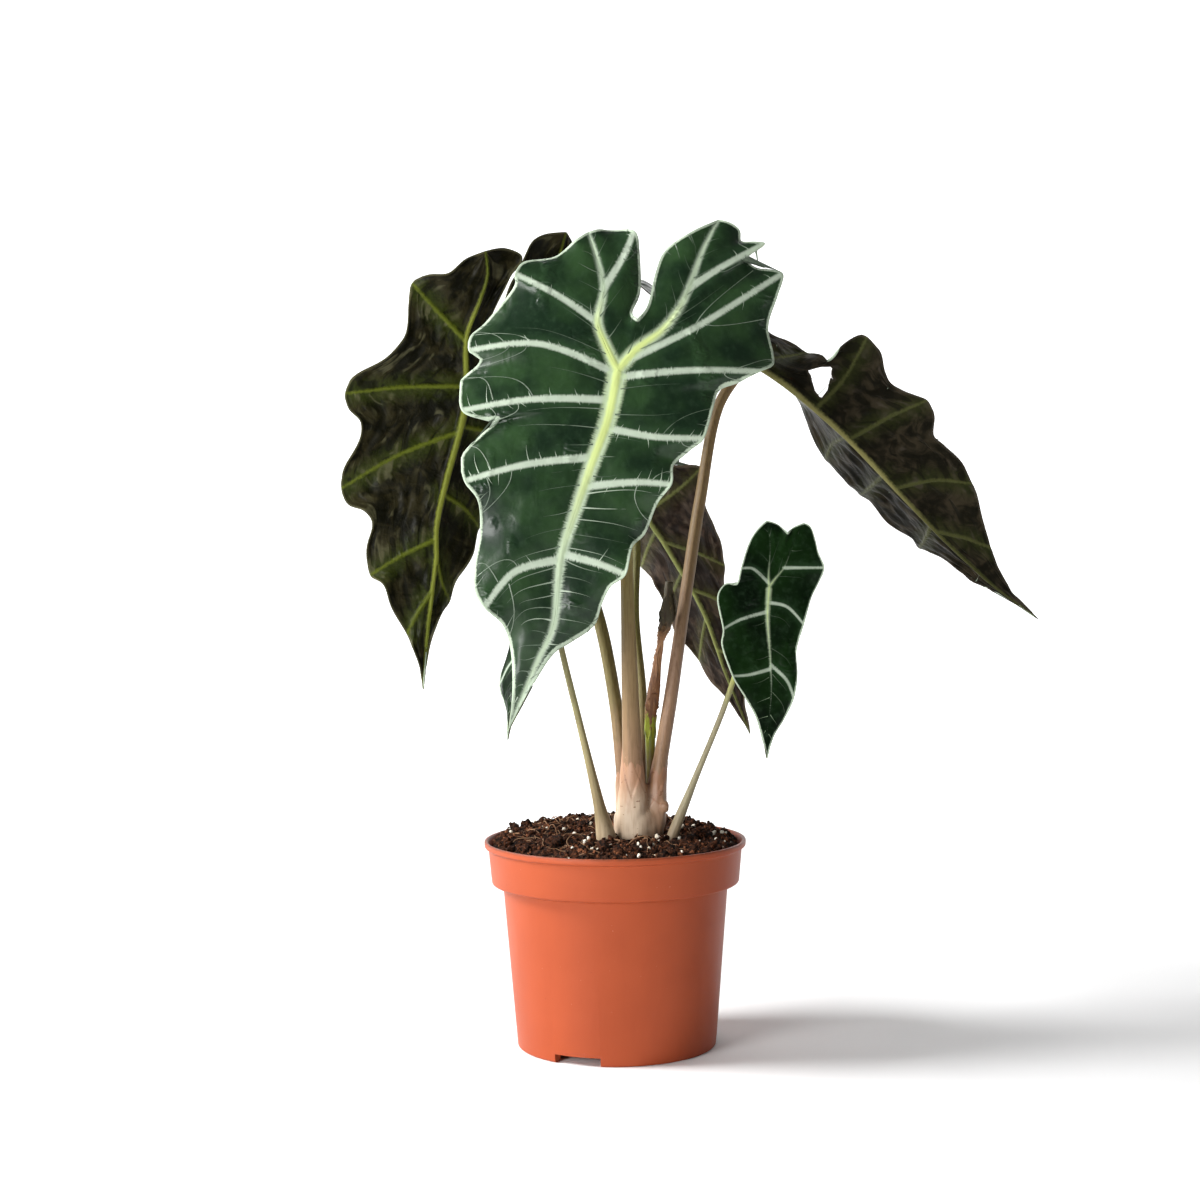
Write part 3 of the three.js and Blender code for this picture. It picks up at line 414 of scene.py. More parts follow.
def make_mesh(name, shape, paints, values=None):
    """An object from a shape, points in mm and faces, with one number per point for each named value."""
    points, faces = shape
    mesh = bpy.data.meshes.new(name)
    mesh.from_pydata((np.asarray(points, float) * MM).tolist(), [], faces)
    for key, numbers in (values or {}).items():
        set_value(mesh, key, numbers)
    for paint in paints if isinstance(paints, list) else [paints]:
        mesh.materials.append(paint)
    mesh.polygons.foreach_set("use_smooth", [True] * len(mesh.polygons))
    mesh.update()
    return link(name, mesh)


def place(made, slot, *nodes):
    """Lets a piece ride on the plant and stands it for CAD nodes; its slot is not used."""
    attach(made, "root")
    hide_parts(*nodes)
    return made


def applied(made):
    """The same piece with its modifiers applied to its mesh."""
    shown = made.evaluated_get(bpy.context.evaluated_depsgraph_get())
    mesh = bpy.data.meshes.new_from_object(shown)
    made.modifiers.clear()
    old, made.data = made.data, mesh
    bpy.data.meshes.remove(old)
    mesh.polygons.foreach_set("use_smooth", [True] * len(mesh.polygons))
    return made


def grid_faces(rows, columns, closed=False):
    """Quads between rows of points, each row with that many points; closed rows join up at their ends."""
    i = np.arange(rows - 1)[:, None] * columns
    j = np.arange(columns if closed else columns - 1)[None, :]
    k = (j + 1) % columns
    return np.stack([i + j, i + k, i + columns + k, i + columns + j], -1).reshape(-1, 4).tolist()


def capped(rings, low, high):
    """The shape of a closed body from rings of points, with a middle point at each end."""
    rows, columns = rings.shape[:2]
    faces = grid_faces(rows, columns, closed=True)
    middle, last = rows * columns, (rows - 1) * columns
    for j in range(columns):
        k = (j + 1) % columns
        faces += [[middle, k, j], [middle + 1, last + j, last + k]]
    return np.concatenate([rings.reshape(-1, 3), [low, high]]), faces


def joined(shapes):
    """One shape from several."""
    faces, total = [], 0
    for points, more in shapes:
        faces += [[n + total for n in face] for face in more]
        total += len(points)
    return np.concatenate([points for points, _ in shapes]), faces


# ---------- materials ----------


def srgb(red, green, blue):
    """A colour given as it looks on a screen, 0 to 255."""
    light = [c / 255 for c in (red, green, blue)]
    return [c / 12.92 if c < 0.04045 else ((c + 0.055) / 1.055) ** 2.4 for c in light] + [1]


class Value:
    """An output of a node, which can be added to, lessened and multiplied."""

    def __init__(self, paint, socket):
        self.paint, self.socket = paint, socket

    def __add__(self, other):
        return self.paint.math("ADD", self, other)

    def __sub__(self, other):
        return self.paint.math("SUBTRACT", self, other)

    def __mul__(self, other):
        return self.paint.math("MULTIPLY", self, other)


class Paint:
    """A node material: over() lays one colour over the others, and bump() raises the skin."""

    def __init__(self, name):
        self.material = bpy.data.materials.new(name)
        self.material.use_nodes = True
        self.tree = self.material.node_tree
        self.base, self.normal = None, None
        self.spot = self.space(1, 1, 1)

    def feed(self, socket, value):
        if isinstance(value, Value):
            self.tree.links.new(value.socket, socket)
        else:
            socket.default_value = value

    def node(self, kind, output, inputs, **settings):
        """One output of a new node."""
        made = self.tree.nodes.new("ShaderNode" + kind)
        for key, value in settings.items():
            setattr(made, key, value)
        for key, value in inputs.items():
            self.feed(made.inputs[key], value)
        return Value(self, made.outputs[output])

    def math(self, operation, a, b):
        return self.node("Math", 0, {0: a, 1: b}, operation=operation)

    def value(self, name):
        return self.node("Attribute", "Fac", {}, attribute_name=name)

    def space(self, *scale):
        """Places on the piece in mm, stretched by scale."""
        spot = self.node("TexCoord", "Object", {})
        return self.node("Mapping", 0, {"Vector": spot, "Scale": [s / MM for s in scale]})

    def axis(self, number):
        """The place on the piece in mm along one axis."""
        return self.node("SeparateXYZ", number, {0: self.spot})

    def noise(self, scale, detail=3.0, rough=0.55, warp=0.0, at=None):
        inputs = {"Vector": at or self.spot, "Scale": scale, "Detail": detail, "Roughness": rough}
        return self.node("TexNoise", "Fac", inputs | {"Distortion": warp})

    def ramp(self, value, low, high):
        """0 where value is below low and 1 where it is above high, or 1 and 0 if low is the higher one."""
        inputs = {"Value": value, "From Min": low, "From Max": high}
        return self.node("MapRange", 0, inputs, interpolation_type="SMOOTHSTEP")

    def feathered(self, distance, run, reach, outside, inside):
        """1 within the painted edge of a vein and 0 without, with streaks square to the vein between them."""
        inputs = {"W": self.value(run) * 1.25, "Scale": 1.0, "Detail": 3.0, "Roughness": 0.75}
        streak = self.node("TexNoise", "Fac", inputs, noise_dimensions="1D")
        uneven = streak + self.noise(0.9, 2) * 0.5
        patch = self.ramp(self.noise(0.16, 2), 0.3, 0.68)
        edge = (uneven - 0.75) * (patch * (1.5 * reach))
        return self.ramp(self.value(distance) + edge, outside, inside)

    def colour(self, share, one, two):
        """A mix of two colours, each another mix or three numbers from 0 to 255."""
        one, two = (srgb(*c) if isinstance(c, tuple) else c for c in (one, two))
        return self.node("Mix", 2, {0: share, 6: one, 7: two}, data_type="RGBA")

    def over(self, share, colour):
        self.base = self.colour(share, self.base, colour)

    def bump(self, height, distance, strength=1.0):
        inputs = {"Height": height, "Distance": distance * MM, "Strength": strength}
        if self.normal:
            inputs["Normal"] = self.normal
        self.normal = self.node("Bump", 0, inputs)

    def finish(self, **inputs):
        inputs = {"Base Color": self.base, "Normal": self.normal} | inputs
        shader = self.tree.nodes["Principled BSDF"]
        for key, value in inputs.items():
            if value is not None:
                self.feed(shader.inputs[key.replace("_", " ")], value)
        return self.material


def upper_paint(name, dark, light, narrow):
    """The upper face: glossy dark green, with pale veins that are feathered along their edges.

    narrow is how much thinner the veins and the pale rim are than on the front blade.
    """
    p = Paint(name)
    fuzz = p.noise(1.3, 2) - 0.5
    p.base = p.colour(p.ramp(p.noise(0.045), 0.35, 0.7), dark, light)
    p.over(p.ramp(p.noise(0.35, 4, 0.6), 0.45, 0.75) * 0.22, (52, 72, 52))
    p.over(p.ramp(p.value("vein"), 5, 0) * (0.35 * (1 - narrow)), (44, 68, 42))
    on_vein = p.feathered("vein", "vein_run", 1.5, 0.75 - narrow, -0.55 - narrow) * (1 - 0.9 * narrow)
    p.over(on_vein, p.colour(p.noise(0.3, 2), (152, 166, 146), (176, 187, 170)))
    on_spine = p.feathered("spine", "spine_run", 2.6, 1.3 - 7 * narrow, -1.3 - 7 * narrow)
    on_spine = on_spine * (1 - 0.8 * narrow)
    p.over(on_spine, p.colour(p.value("fresh") * 0.55, (164, 178, 160), (168, 188, 134)))
    core = p.ramp(p.value("core") + fuzz, 0.7 - 5 * narrow, -1.0 - 5 * narrow)
    fresh = p.ramp(p.value("fresh"), 0.15 + 0.5 * narrow, 0.8 + 0.2 * narrow)
    p.over(core, p.colour(fresh, (158, 174, 148), (184, 198, 124)))
    on_rim = p.ramp(p.value("rim") + fuzz * 0.9, 1.4 - narrow, 0.7 - narrow)
    p.over(on_rim, (162, 176, 155))
    marks = p.math("MAXIMUM", p.math("MAXIMUM", on_vein, on_spine), on_rim)
    wet = p.ramp(p.noise(0.06, 1, at=p.space(1, 1, 0.8)), 0.58, 0.7)
    p.bump(p.noise(0.13, 2, 0.5, 0.5, at=p.space(1, 1, 0.6)), 1.0, 0.45)
    p.bump(p.noise(0.2, 0.5, 0.4, 1.2, at=p.space(1, 1, 1.6)) * wet, 1.6, 0.6)
    p.bump(p.noise(2.4), 0.03, 0.4)
    p.bump(marks, 0.12, 0.6)
    return p.finish(Roughness=marks * 0.21 + 0.29, Specular_IOR_Level=0.27 - 0.6 * narrow)


def under_paint(name, dark, light, streak, halo, vein, spine, gloss=0.05):
    """The underside: dull and dark, with olive veins, a green halo along them and pale curved streaks that
    are painted highlights on its puckered skin.
    """
    p = Paint(name)
    fuzz = p.noise(0.7) - 0.5
    run = p.node("CombineXYZ", 0, {"X": p.value("run"), "Y": p.value("side"), "Z": 0.0})
    bent = p.node("Mapping", 0, {"Vector": run, "Scale": (0.15, 0.06, 1)})
    stripes = p.noise(1.0, 1.0, 0.4, 1.1, at=bent)
    p.base = p.colour(p.ramp(p.noise(0.11, 4, 0.55, 0.8), 0.4, 0.66), dark, light)
    p.over(p.ramp(p.value("under_vein") + fuzz * 8, 9, -2) * 0.8, halo)
    # painted highlights: pale streaks in the colour streak, standing in for glints on the puckered skin
    p.over(p.ramp(stripes, 0.54, 0.7) * p.ramp(p.noise(0.1, 2), 0.42, 0.6) * 0.45, streak)
    p.over(p.ramp(stripes, 0.48, 0.34) * 0.75, dark)
    # a paler rim, in the same colour as the painted highlight streaks
    p.over(p.ramp(p.value("rim"), 1.0, 0.3) * 0.45, streak)
    p.over(p.ramp(p.value("under_vein") + fuzz * 1.6, 0.8, -0.7), vein)
    midrib = p.colour(p.ramp(p.value("fresh"), 0.02, 0.3), vein, spine)
    p.over(p.ramp(p.value("under_spine") + fuzz, 0.6, -0.8), midrib)
    p.bump(stripes, 1.5, 0.35)
    p.bump(p.noise(0.2, 2, 0.5, 0.8), 1.2, 0.4)
    return p.finish(Roughness=0.34, Specular_IOR_Level=gloss)


def stroke_paint(name, faint, strong):
    """The thin side veins: pale where strong and nearly the leaf's green where faint."""
    p = Paint(name)
    p.base = p.colour(p.ramp(p.value("tone") + p.noise(0.8, 2) * 0.2, 0.05, 1.1), faint, strong)
    return p.finish(Roughness=0.45)


def stalk_paint(name, low, middle, high, speck, turn=(0.36, 0.62)):
    """A stalk's skin: colours along its height, with fine lengthwise streaks and a few dark marks.

    turn is where the middle colour turns into the high one, as shares of the path.
    """
    p = Paint(name)
    height = p.value("height") + p.noise(0.06, 2) * 0.08
    streaks = p.noise(1.3, 4, 0.6, at=p.space(1, 1, 0.08))
    p.base = p.colour(p.ramp(height, 0.2, 0.36), low, middle)
    p.over(p.ramp(height, *turn), high)
    p.over(p.ramp(streaks, 0.4, 0.72) * 0.45, speck)
    p.over(p.ramp(p.noise(0.22, at=p.space(1, 1, 0.5)), 0.62, 0.72) * 0.35, speck)
    p.bump(streaks, 0.12, 0.6)
    return p.finish(Roughness=0.5, Specular_IOR_Level=0.3)


def corm_paint():
    """Pale below and browner above, with streaks, scars and darker wrapped edges, and browner to the right:
    partly its own colour and partly painted shade.
    """
    p = Paint("corm")
    height = p.axis(2) + p.noise(0.25, at=p.space(1, 1, 0.4)) * 14
    streaks = p.noise(0.9, 4, 0.6, at=p.space(1, 1, 0.1))
    p.base = p.colour(p.noise(0.12), (214, 196, 172), (188, 164, 138))
    p.over(p.ramp(height, 112, 132), (160, 120, 90))
    p.over(p.ramp(height, 136, 150), (146, 108, 78))
    p.over(p.ramp(streaks, 0.45, 0.75) * 0.35, (148, 112, 84))
    # partly painted shade: the side to the right, away from the lamps, is made browner and darker
    p.over(p.ramp(p.axis(0) + p.noise(0.2, 2) * 6, 13, 22) * 0.75, (136, 96, 68))
    p.over(p.ramp(p.noise(0.3, 3, 0.5, 0.4, at=p.space(1, 1, 1.6)), 0.66, 0.72) * 0.8, (112, 70, 46))
    p.over(p.ramp(p.value("edge"), 0.2, 1.0) * 0.65, (150, 104, 78))
    p.bump(streaks, 0.15, 0.6)
    return p.finish(Roughness=0.5)


def withered_paint():
    """The dried sheath: olive at its foot, orange-brown above, and dark green-brown where it is ragged."""
    p = Paint("withered_sheath")
    height = p.axis(2) + p.noise(0.5) * 7
    torn = (p.noise(0.8, 3, 0.6, at=p.space(1, 1, 0.12)) - 0.5) * 26
    streaks = p.noise(1.2, 4, 0.65, at=p.space(1, 1, 0.15))
    p.base = p.colour(p.ramp(height + torn, 152, 154), (138, 148, 30), (116, 74, 40))
    p.over(p.ramp(height, 170, 182), (150, 106, 68))
    p.over(p.ramp(height, 188, 199), (62, 54, 32))
    p.over(p.ramp(streaks, 0.5, 0.7) * 0.7, (54, 32, 20))
    p.over(p.ramp(streaks, 0.42, 0.3) * 0.5, (186, 146, 98))
    p.bump(streaks, 0.35, 0.8)
    return p.finish(Roughness=0.6)


def shoot_paint():
    p = Paint("green_shoot")
    streaks = p.noise(1.4, at=p.space(1, 1, 0.12))
    # painted shade: olive-brown below, turning yellow-green from 128 to 146 mm; the olive-brown stands in for
    # the shade between the stalks
    p.base = p.colour(p.ramp(p.axis(2), 128, 146), (104, 88, 52), (142, 154, 30))
    p.over(p.ramp(streaks, 0.45, 0.7) * 0.45, (104, 110, 34))
    p.bump(streaks, 0.12, 0.5)
    return p.finish(Roughness=0.4)


def soil_paint(name, dark, light):
    p = Paint(name)
    p.base = p.colour(p.ramp(p.noise(0.4, 4, 0.7), 0.4, 0.64), dark, light)
    p.over(p.ramp(p.noise(1.7), 0.48, 0.66) * 0.75, dark)
    p.bump(p.noise(1.1, 5, 0.75), 1.0)
    return p.finish(Roughness=0.95, Specular_IOR_Level=0.15)


def grain_paint():
    p = Paint("pale_grain")
    p.base = p.colour(p.ramp(p.noise(0.9), 0.35, 0.7), (236, 230, 216), (198, 184, 160))
    p.bump(p.noise(2), 0.2, 0.8)
    return p.finish(Roughness=0.8)


def fibre_paint():
    p = Paint("root_fibre")
    p.base = p.colour(p.noise(0.25), (150, 112, 76), (84, 54, 34))
    return p.finish(Roughness=0.8)


def pot_paint():
    """Moulded plastic: an even satin terracotta colour with faint flow marks, dust and tiny specks."""
    p = Paint("pot_plastic")
    flow = p.noise(0.12, 4, 0.6, at=p.space(1, 1, 0.25))
    p.base = p.colour(p.ramp(p.noise(0.02), 0.3, 0.7), (154, 68, 36), (160, 72, 39))
    p.over(p.ramp(flow, 0.45, 0.75) * 0.16, (142, 59, 33))
    p.over(p.ramp(p.noise(0.7, 2), 0.76, 0.8) * 0.6, (206, 150, 124))
    p.over(p.ramp(p.noise(0.5, 2, at=p.space(1.1, 0.9, 1.2)), 0.775, 0.8) * 0.7, (96, 46, 32))
    soiled = p.ramp(p.axis(2), POT.height - 1.4, POT.height - 0.1) * p.ramp(p.noise(0.25), 0.2, 0.6)
    p.over(soiled * 0.6, (96, 58, 44))
    p.bump(p.noise(2.2), 0.03, 0.5)
    p.bump(flow, 0.1, 0.4)
    return p.finish(Roughness=flow * 0.12 + 0.4, Specular_IOR_Level=0.2)


# ---------- leaf blades ----------


class Vein:
    """A vein from its place on the spine to its place on the edge; without a bend it is only a bay's end."""

    def __init__(self, spine, edge, where, at_edge, bend=None):
        self.where, self.at_edge, self.real = where, at_edge, bend is not None
        root, tip = spine(where), edge(at_edge)
        self.line = Spline([root, (root + tip) / 2 if bend is None else bend, tip])


class Bay:
    """The blade between two veins: t runs from one vein to the other, v from the spine to the edge."""

    def __init__(self, leaf, spine, edge, one, two):
        self.leaf, self.spine, self.edge, self.one, self.two = leaf, spine, edge, one, two
        self.breadth = self.gap(np.linspace(0, 1, 9)).max()
        self.length = max(one.line.run[-1], two.line.run[-1])

    def where(self, t):
        return mix(self.one.where, self.two.where, t)

    def on_edge(self, t):
        return self.edge(mix(self.one.at_edge, self.two.at_edge, t))

    def flat(self, t, v):
        one, two = self.one.line, self.two.line
        t, v = np.broadcast_arrays(np.asarray(t, float), np.asarray(v, float))
        s, w = t[..., None], v[..., None]
        from_spine = self.spine(self.where(t)) - mix(one.at(0), two.at(0), s)
        from_edge = self.on_edge(t) - mix(one.at(1), two.at(1), s)
        return mix(one.at(v), two.at(v), s) + from_spine * (1 - w) + from_edge * w

    def reach(self, t):
        """How far it is from the spine to the edge."""
        t = np.asarray(t, float)
        return np.linalg.norm(self.spine(self.where(t)) - self.on_edge(t), axis=-1)

    def gap(self, v):
        return np.linalg.norm(self.one.line.at(v) - self.two.line.at(v), axis=-1)

    def lift(self, t, v):
        """How far the waves of the edge and the swelling of the bay raise the blade."""
        swell = np.minimum(1, self.reach(t) / BLADE.wave_span)
        wave = self.leaf.data["wave"] * v * v * np.cos(FULL_TURN * t)
        puff = BLADE.pillow * self.leaf.scale * np.minimum(1, self.gap(v) / BLADE.pillow_span)
        return swell * (wave + puff * np.sin(np.pi * t) * np.sin(np.pi * v))

    def surface(self, t, v):
        return self.leaf.point(self.flat(t, v), self.lift(t, v))

    def normal(self, t, v):
        """The upward normal of the surface."""
        step = 0.01
        across, along = (
            self.surface(np.clip(t + dt, 0, 1), np.clip(v + dv, 0, 1))
            - self.surface(np.clip(t - dt, 0, 1), np.clip(v - dv, 0, 1))
            for dt, dv in ((step, 0), (0, step))
        )
        out = unit(np.cross(across, along))
        return out * np.sign(out @ self.leaf.normal)[..., None]

    def rows(self):
        """Places t of the rows for each place v of the columns, drawn close to the veins."""
        count = int(np.clip(self.breadth / self.leaf.cell, 10, 34))
        even = np.linspace(0, 1, count + 1)
        inner = np.linspace(0, 1, self.leaf.columns + 1)[None, :]
        start = np.minimum(self.leaf.spine_width(self.where(even)), 9)
        start = np.minimum(start / np.maximum(self.reach(even), 0.01), 0.5)[:, None]
        v = np.concatenate([start * 0.35, start * 0.7, mix(start, 1, inner)], axis=1)
        t = np.broadcast_to(even[:, None], v.shape).copy()
        gap = np.maximum(self.gap(v), 0.01)
        for k, away in enumerate(BLADE.beside_vein, 1):
            if self.one.real:
                t[k] = np.minimum(away * self.leaf.scale / gap[k], k / count)
            if self.two.real:
                t[-1 - k] = 1 - np.minimum(away * self.leaf.scale / gap[-1 - k], k / count)
        return t, v


class Leaf:
    """A blade: its place, its shape off the flat plane, its bays and the lines of its veins."""

    def __init__(self, name):
        self.name, self.cell = name, CELL[name]
        self.data = data = LEAVES[name]
        self.joint = np.array(data["joint"], float)
        self.down = unit(data["down"])
        face = np.array(data["face"], float)
        self.normal = unit(face - face @ self.down * self.down)
        self.hand = -1 if data.get("mirror") else 1
        self.across = np.cross(self.normal, self.down) * self.hand
        self.midrib = Spline(points_of(data["midrib"]))
        self.rib = self.midrib.points
        self.scale = min(1, self.rib[-1, 0] / BLADE.full_length)
        self.half = BLADE.thickness / 2 * max(self.scale, BLADE.least_thin)
        self.columns = int(BLADE.columns * self.scale)
        self.halves = [self.lay(data[side]) for side in ("right", "left")]
        self.bays = [bay for _, rows in self.halves for row in rows for bay in row]

    def spine_width(self, s):
        """Half the width of the midrib or lobe vein at a place on the spine."""
        share = np.where(s < 0, BLADE.lobe_vein, 1) * (1 - np.abs(s)) ** BLADE.thinning
        return BLADE.midrib_width * self.scale * share

    def lay(self, half):
        """The spine of a half and its two rows of bays, the first between its lobe and the other half."""
        lobe = Spline([[0, 0], *points_of(half["lobe"])])

        def spine(s):
            s = np.asarray(s, float)
            return np.where((s < 0)[..., None], lobe.along(-s), self.midrib.along(s))

        rows = []
        ends = [(self.data["notch"], 0), (lobe.points[-1], -1), (self.rib[-1], 1)]
        for bays, (start, first), (end, last) in zip((half["inner"], half["outer"]), ends, ends[1:]):
            corners, marks = [start], [(first, 0, None)]
            for text in bays:
                on_edge, *closing = map(points_of, text.split("|"))
                corners += on_edge
                for root, bend, tip in closing:
                    tries = np.arange(401) / 200 - 1
                    where = tries[np.argmin(np.linalg.norm(spine(tries) - root, axis=1))]
                    corners.append(tip)
                    marks.append((where, len(corners) - 1, bend))
            corners.append(end)
            marks.append((last, len(corners) - 1, None))
            curve = Spline(corners)

            def edge(k, curve=curve):
                return curve.at(np.asarray(k, float) / curve.last)

            veins = [Vein(spine, edge, *mark) for mark in marks]
            rows.append([Bay(self, spine, edge, one, two) for one, two in zip(veins, veins[1:])])
        return spine, rows

    def rise(self, flat):
        """How far the blade stands off its flat plane."""
        a, b = flat[..., 0], flat[..., 1]
        off = b - np.interp(a, self.rib[:, 0], self.rib[:, 1], left=0)
        right, left = (np.array(self.data[side]["fold"], float) for side in ("right", "left"))
        near, far, start, end = np.moveaxis(np.where((off > 0)[..., None], right, left), -1, 0)
        slope = mix(near, far, smooth(a, start, end))
        droop = np.where(a > 0, self.data["droop"], self.data["back"]) * (a / 100) ** 2
        fold = slope * (np.hypot(off, BLADE.fold_rounding) - BLADE.fold_rounding)
        return fold - droop - self.data["arch"] * (off / 50) ** 2

    def point(self, flat, lift):
        away = (self.rise(flat) + lift)[..., None] * self.normal
        return self.joint + flat[..., :1] * self.down + flat[..., 1:] * self.across + away

    def vein_spots(self):
        """Spots along the spine and along the side veins, with their places and runs."""
        spines, veins = [], []
        for spine, rows in self.halves:
            for end, length in ((-1, PAINTED.lobe_run * self.scale), (1, self.midrib.run[-1])):
                places = np.linspace(0, end, 61)
                spines.append(spots_along(spine(places), places, np.abs(places) * length))
            for vein in (bay.two for row in rows for bay in row if bay.two.real):
                places = np.linspace(0, 1, 31)
                runs = places * vein.line.run[-1] + 60 * len(veins)
                veins.append(spots_along(vein.line.at(places), places, runs))
        return np.concatenate(spines), np.concatenate(veins)


def spots_along(line, places, runs, gap=0.3):
    """Spots close together along a line, each with its place and its run from the line's start."""
    length = run_of(line)
    at = np.linspace(0, length[-1], max(2, int(length[-1] / gap)))
    return np.stack([np.interp(at, length, row) for row in (*line.T, places, runs)], -1)


def nearest(flat, spots):
    """For each point its distance from the nearest spot, and the place and the run of that spot."""
    tree = KDTree(len(spots))
    for n, spot in enumerate(spots):
        tree.insert((spot[0], spot[1], 0), n)
    tree.balance()
    index, away = zip(*(tree.find((x, y, 0))[1:] for x, y in flat))
    return np.array(away), *spots[list(index), 2:].T


def zip_rows(flat, one, two):
    """Triangles between two rows of points that start and end together."""
    s, t = (run_of(flat[row]) for row in (one, two))
    s, t = s / s[-1], t / t[-1]
    made, i, j = [], 0, 0
    while i < len(one) - 1 or j < len(two) - 1:
        first = j == len(two) - 1 or (i < len(one) - 1 and s[i + 1] <= t[j + 1])
        made.append((one[i], two[j], one[i + 1]) if first else (one[i], two[j], two[j + 1]))
        i, j = (i + 1, j) if first else (i, j + 1)
    return made


def turned_up(flat, triangles):
    """The triangles without those shrunk to a line, all turned the same way as most of them should be."""
    tri = np.asarray(triangles)
    tri = tri[(tri[:, 0] != tri[:, 1]) & (tri[:, 1] != tri[:, 2]) & (tri[:, 2] != tri[:, 0])]
    p, q, r = (flat[tri[:, k]] for k in range(3))
    turn = (q[:, 0] - p[:, 0]) * (r[:, 1] - p[:, 1]) - (r[:, 0] - p[:, 0]) * (q[:, 1] - p[:, 1])
    return tri if turn.sum() > 0 else tri[:, [0, 2, 1]]


def border_of(triangles):
    """The edges that only one triangle has, turned as that triangle turns them."""
    pairs = np.concatenate([triangles[:, [k, (k + 1) % 3]] for k in range(3)]).tolist()
    known = set(map(tuple, pairs))
    return np.array([pair for pair in pairs if (pair[1], pair[0]) not in known])


class Sheet:
    """The flat sheet of a blade: its points, their lift and the triangles between them."""

    def __init__(self, leaf):
        self.leaf, self.index, self.rows = leaf, {}, []
        patches = []
        for spine, rows in leaf.halves:
            lobe, midrib = (
                [self.corner(spot) for spot in spine(np.linspace(0, end, count + 1))]
                for end, count in ((-1, leaf.columns), (1, 2 * leaf.columns))
            )
            inner, outer = (self.lay_row(row, patches) for row in rows)
            patches += [([lobe[0], *inner], lobe), (outer, [*lobe[::-1], *midrib[1:]])]
        table = np.array(self.rows)
        self.flat, (self.lift, self.run, self.side) = table[:, :2].copy(), table[:, 2:].T
        triangles = [zip_rows(self.flat, *patch) if isinstance(patch, tuple) else patch for patch in patches]
        self.triangles = np.concatenate([turned_up(self.flat, some) for some in triangles])

    def corner(self, spot, lift=0.0, run=0.0, side=0.0):
        """The number of the point at a spot, which is new unless one is there."""
        key = (round(spot[0] * 1000), round(spot[1] * 1000))
        if key not in self.index:
            self.index[key] = len(self.rows)
            self.rows.append([*spot, lift, run, side])
        return self.index[key]

    def lay_row(self, bays, patches):
        """Lays the grids of a row of bays, and gives back their points nearest the spine."""
        innermost = []
        for n, bay in enumerate(bays):
            t, v = bay.rows()
            spots, lift = bay.flat(t, v).reshape(-1, 2), bay.lift(t, v)
            numbers = zip(spots, lift.ravel(), (v * bay.length).ravel(), (t * bay.breadth).ravel())
            index = np.array([self.corner(*number) for number in numbers]).reshape(t.shape)
            p, q = index[:-1, :-1].ravel(), index[1:, :-1].ravel()
            r, s = index[1:, 1:].ravel(), index[:-1, 1:].ravel()
            patches.append(np.concatenate([np.c_[p, q, r], np.c_[p, r, s]]))
            innermost += list(index[1 if n else 0 :, 0])
        return innermost

    def cut(self, outline):
        """Leaves out the triangles inside an outline, with the points beside it drawn onto it."""
        corners, flat = np.array(outline), self.flat
        edges = list(zip(corners, np.roll(corners, -1, axis=0)))

        def within(spots):
            inside = np.zeros(len(spots), bool)
            for (x0, y0), (x1, y1) in edges:
                crosses = (y0 > spots[:, 1]) != (y1 > spots[:, 1])
                at = x0 + (spots[:, 1] - y0) * (x1 - x0) / (y1 - y0 if y1 != y0 else 1e-9)
                inside ^= crosses & (spots[:, 0] < at)
            return inside

        self.triangles = self.triangles[~within(flat[self.triangles].mean(axis=1))]
        border = np.unique(border_of(self.triangles))
        for n, inside in zip(border, within(flat[border])):
            spots = []
            for start, end in edges:
                step = end - start
                share = np.clip((flat[n] - start) @ step / (step @ step), 0, 1)
                spots.append(start + share * step)
            spot = min(spots, key=lambda one: np.linalg.norm(one - flat[n]))
            if inside or np.linalg.norm(spot - flat[n]) < self.leaf.cell:
                flat[n] = spot


def ridge(away, width):
    """The cross section of a raised vein: 1 in its middle and 0 from its width outwards."""
    return np.clip(1 - (away / np.maximum(width, 0.01)) ** 2, 0, 1)


def painted_spine(share):
    """Half the painted width of the midrib of a full-sized blade where it has a share of its full width."""
    return PAINTED.spine_end + PAINTED.spine_root * share**1.4


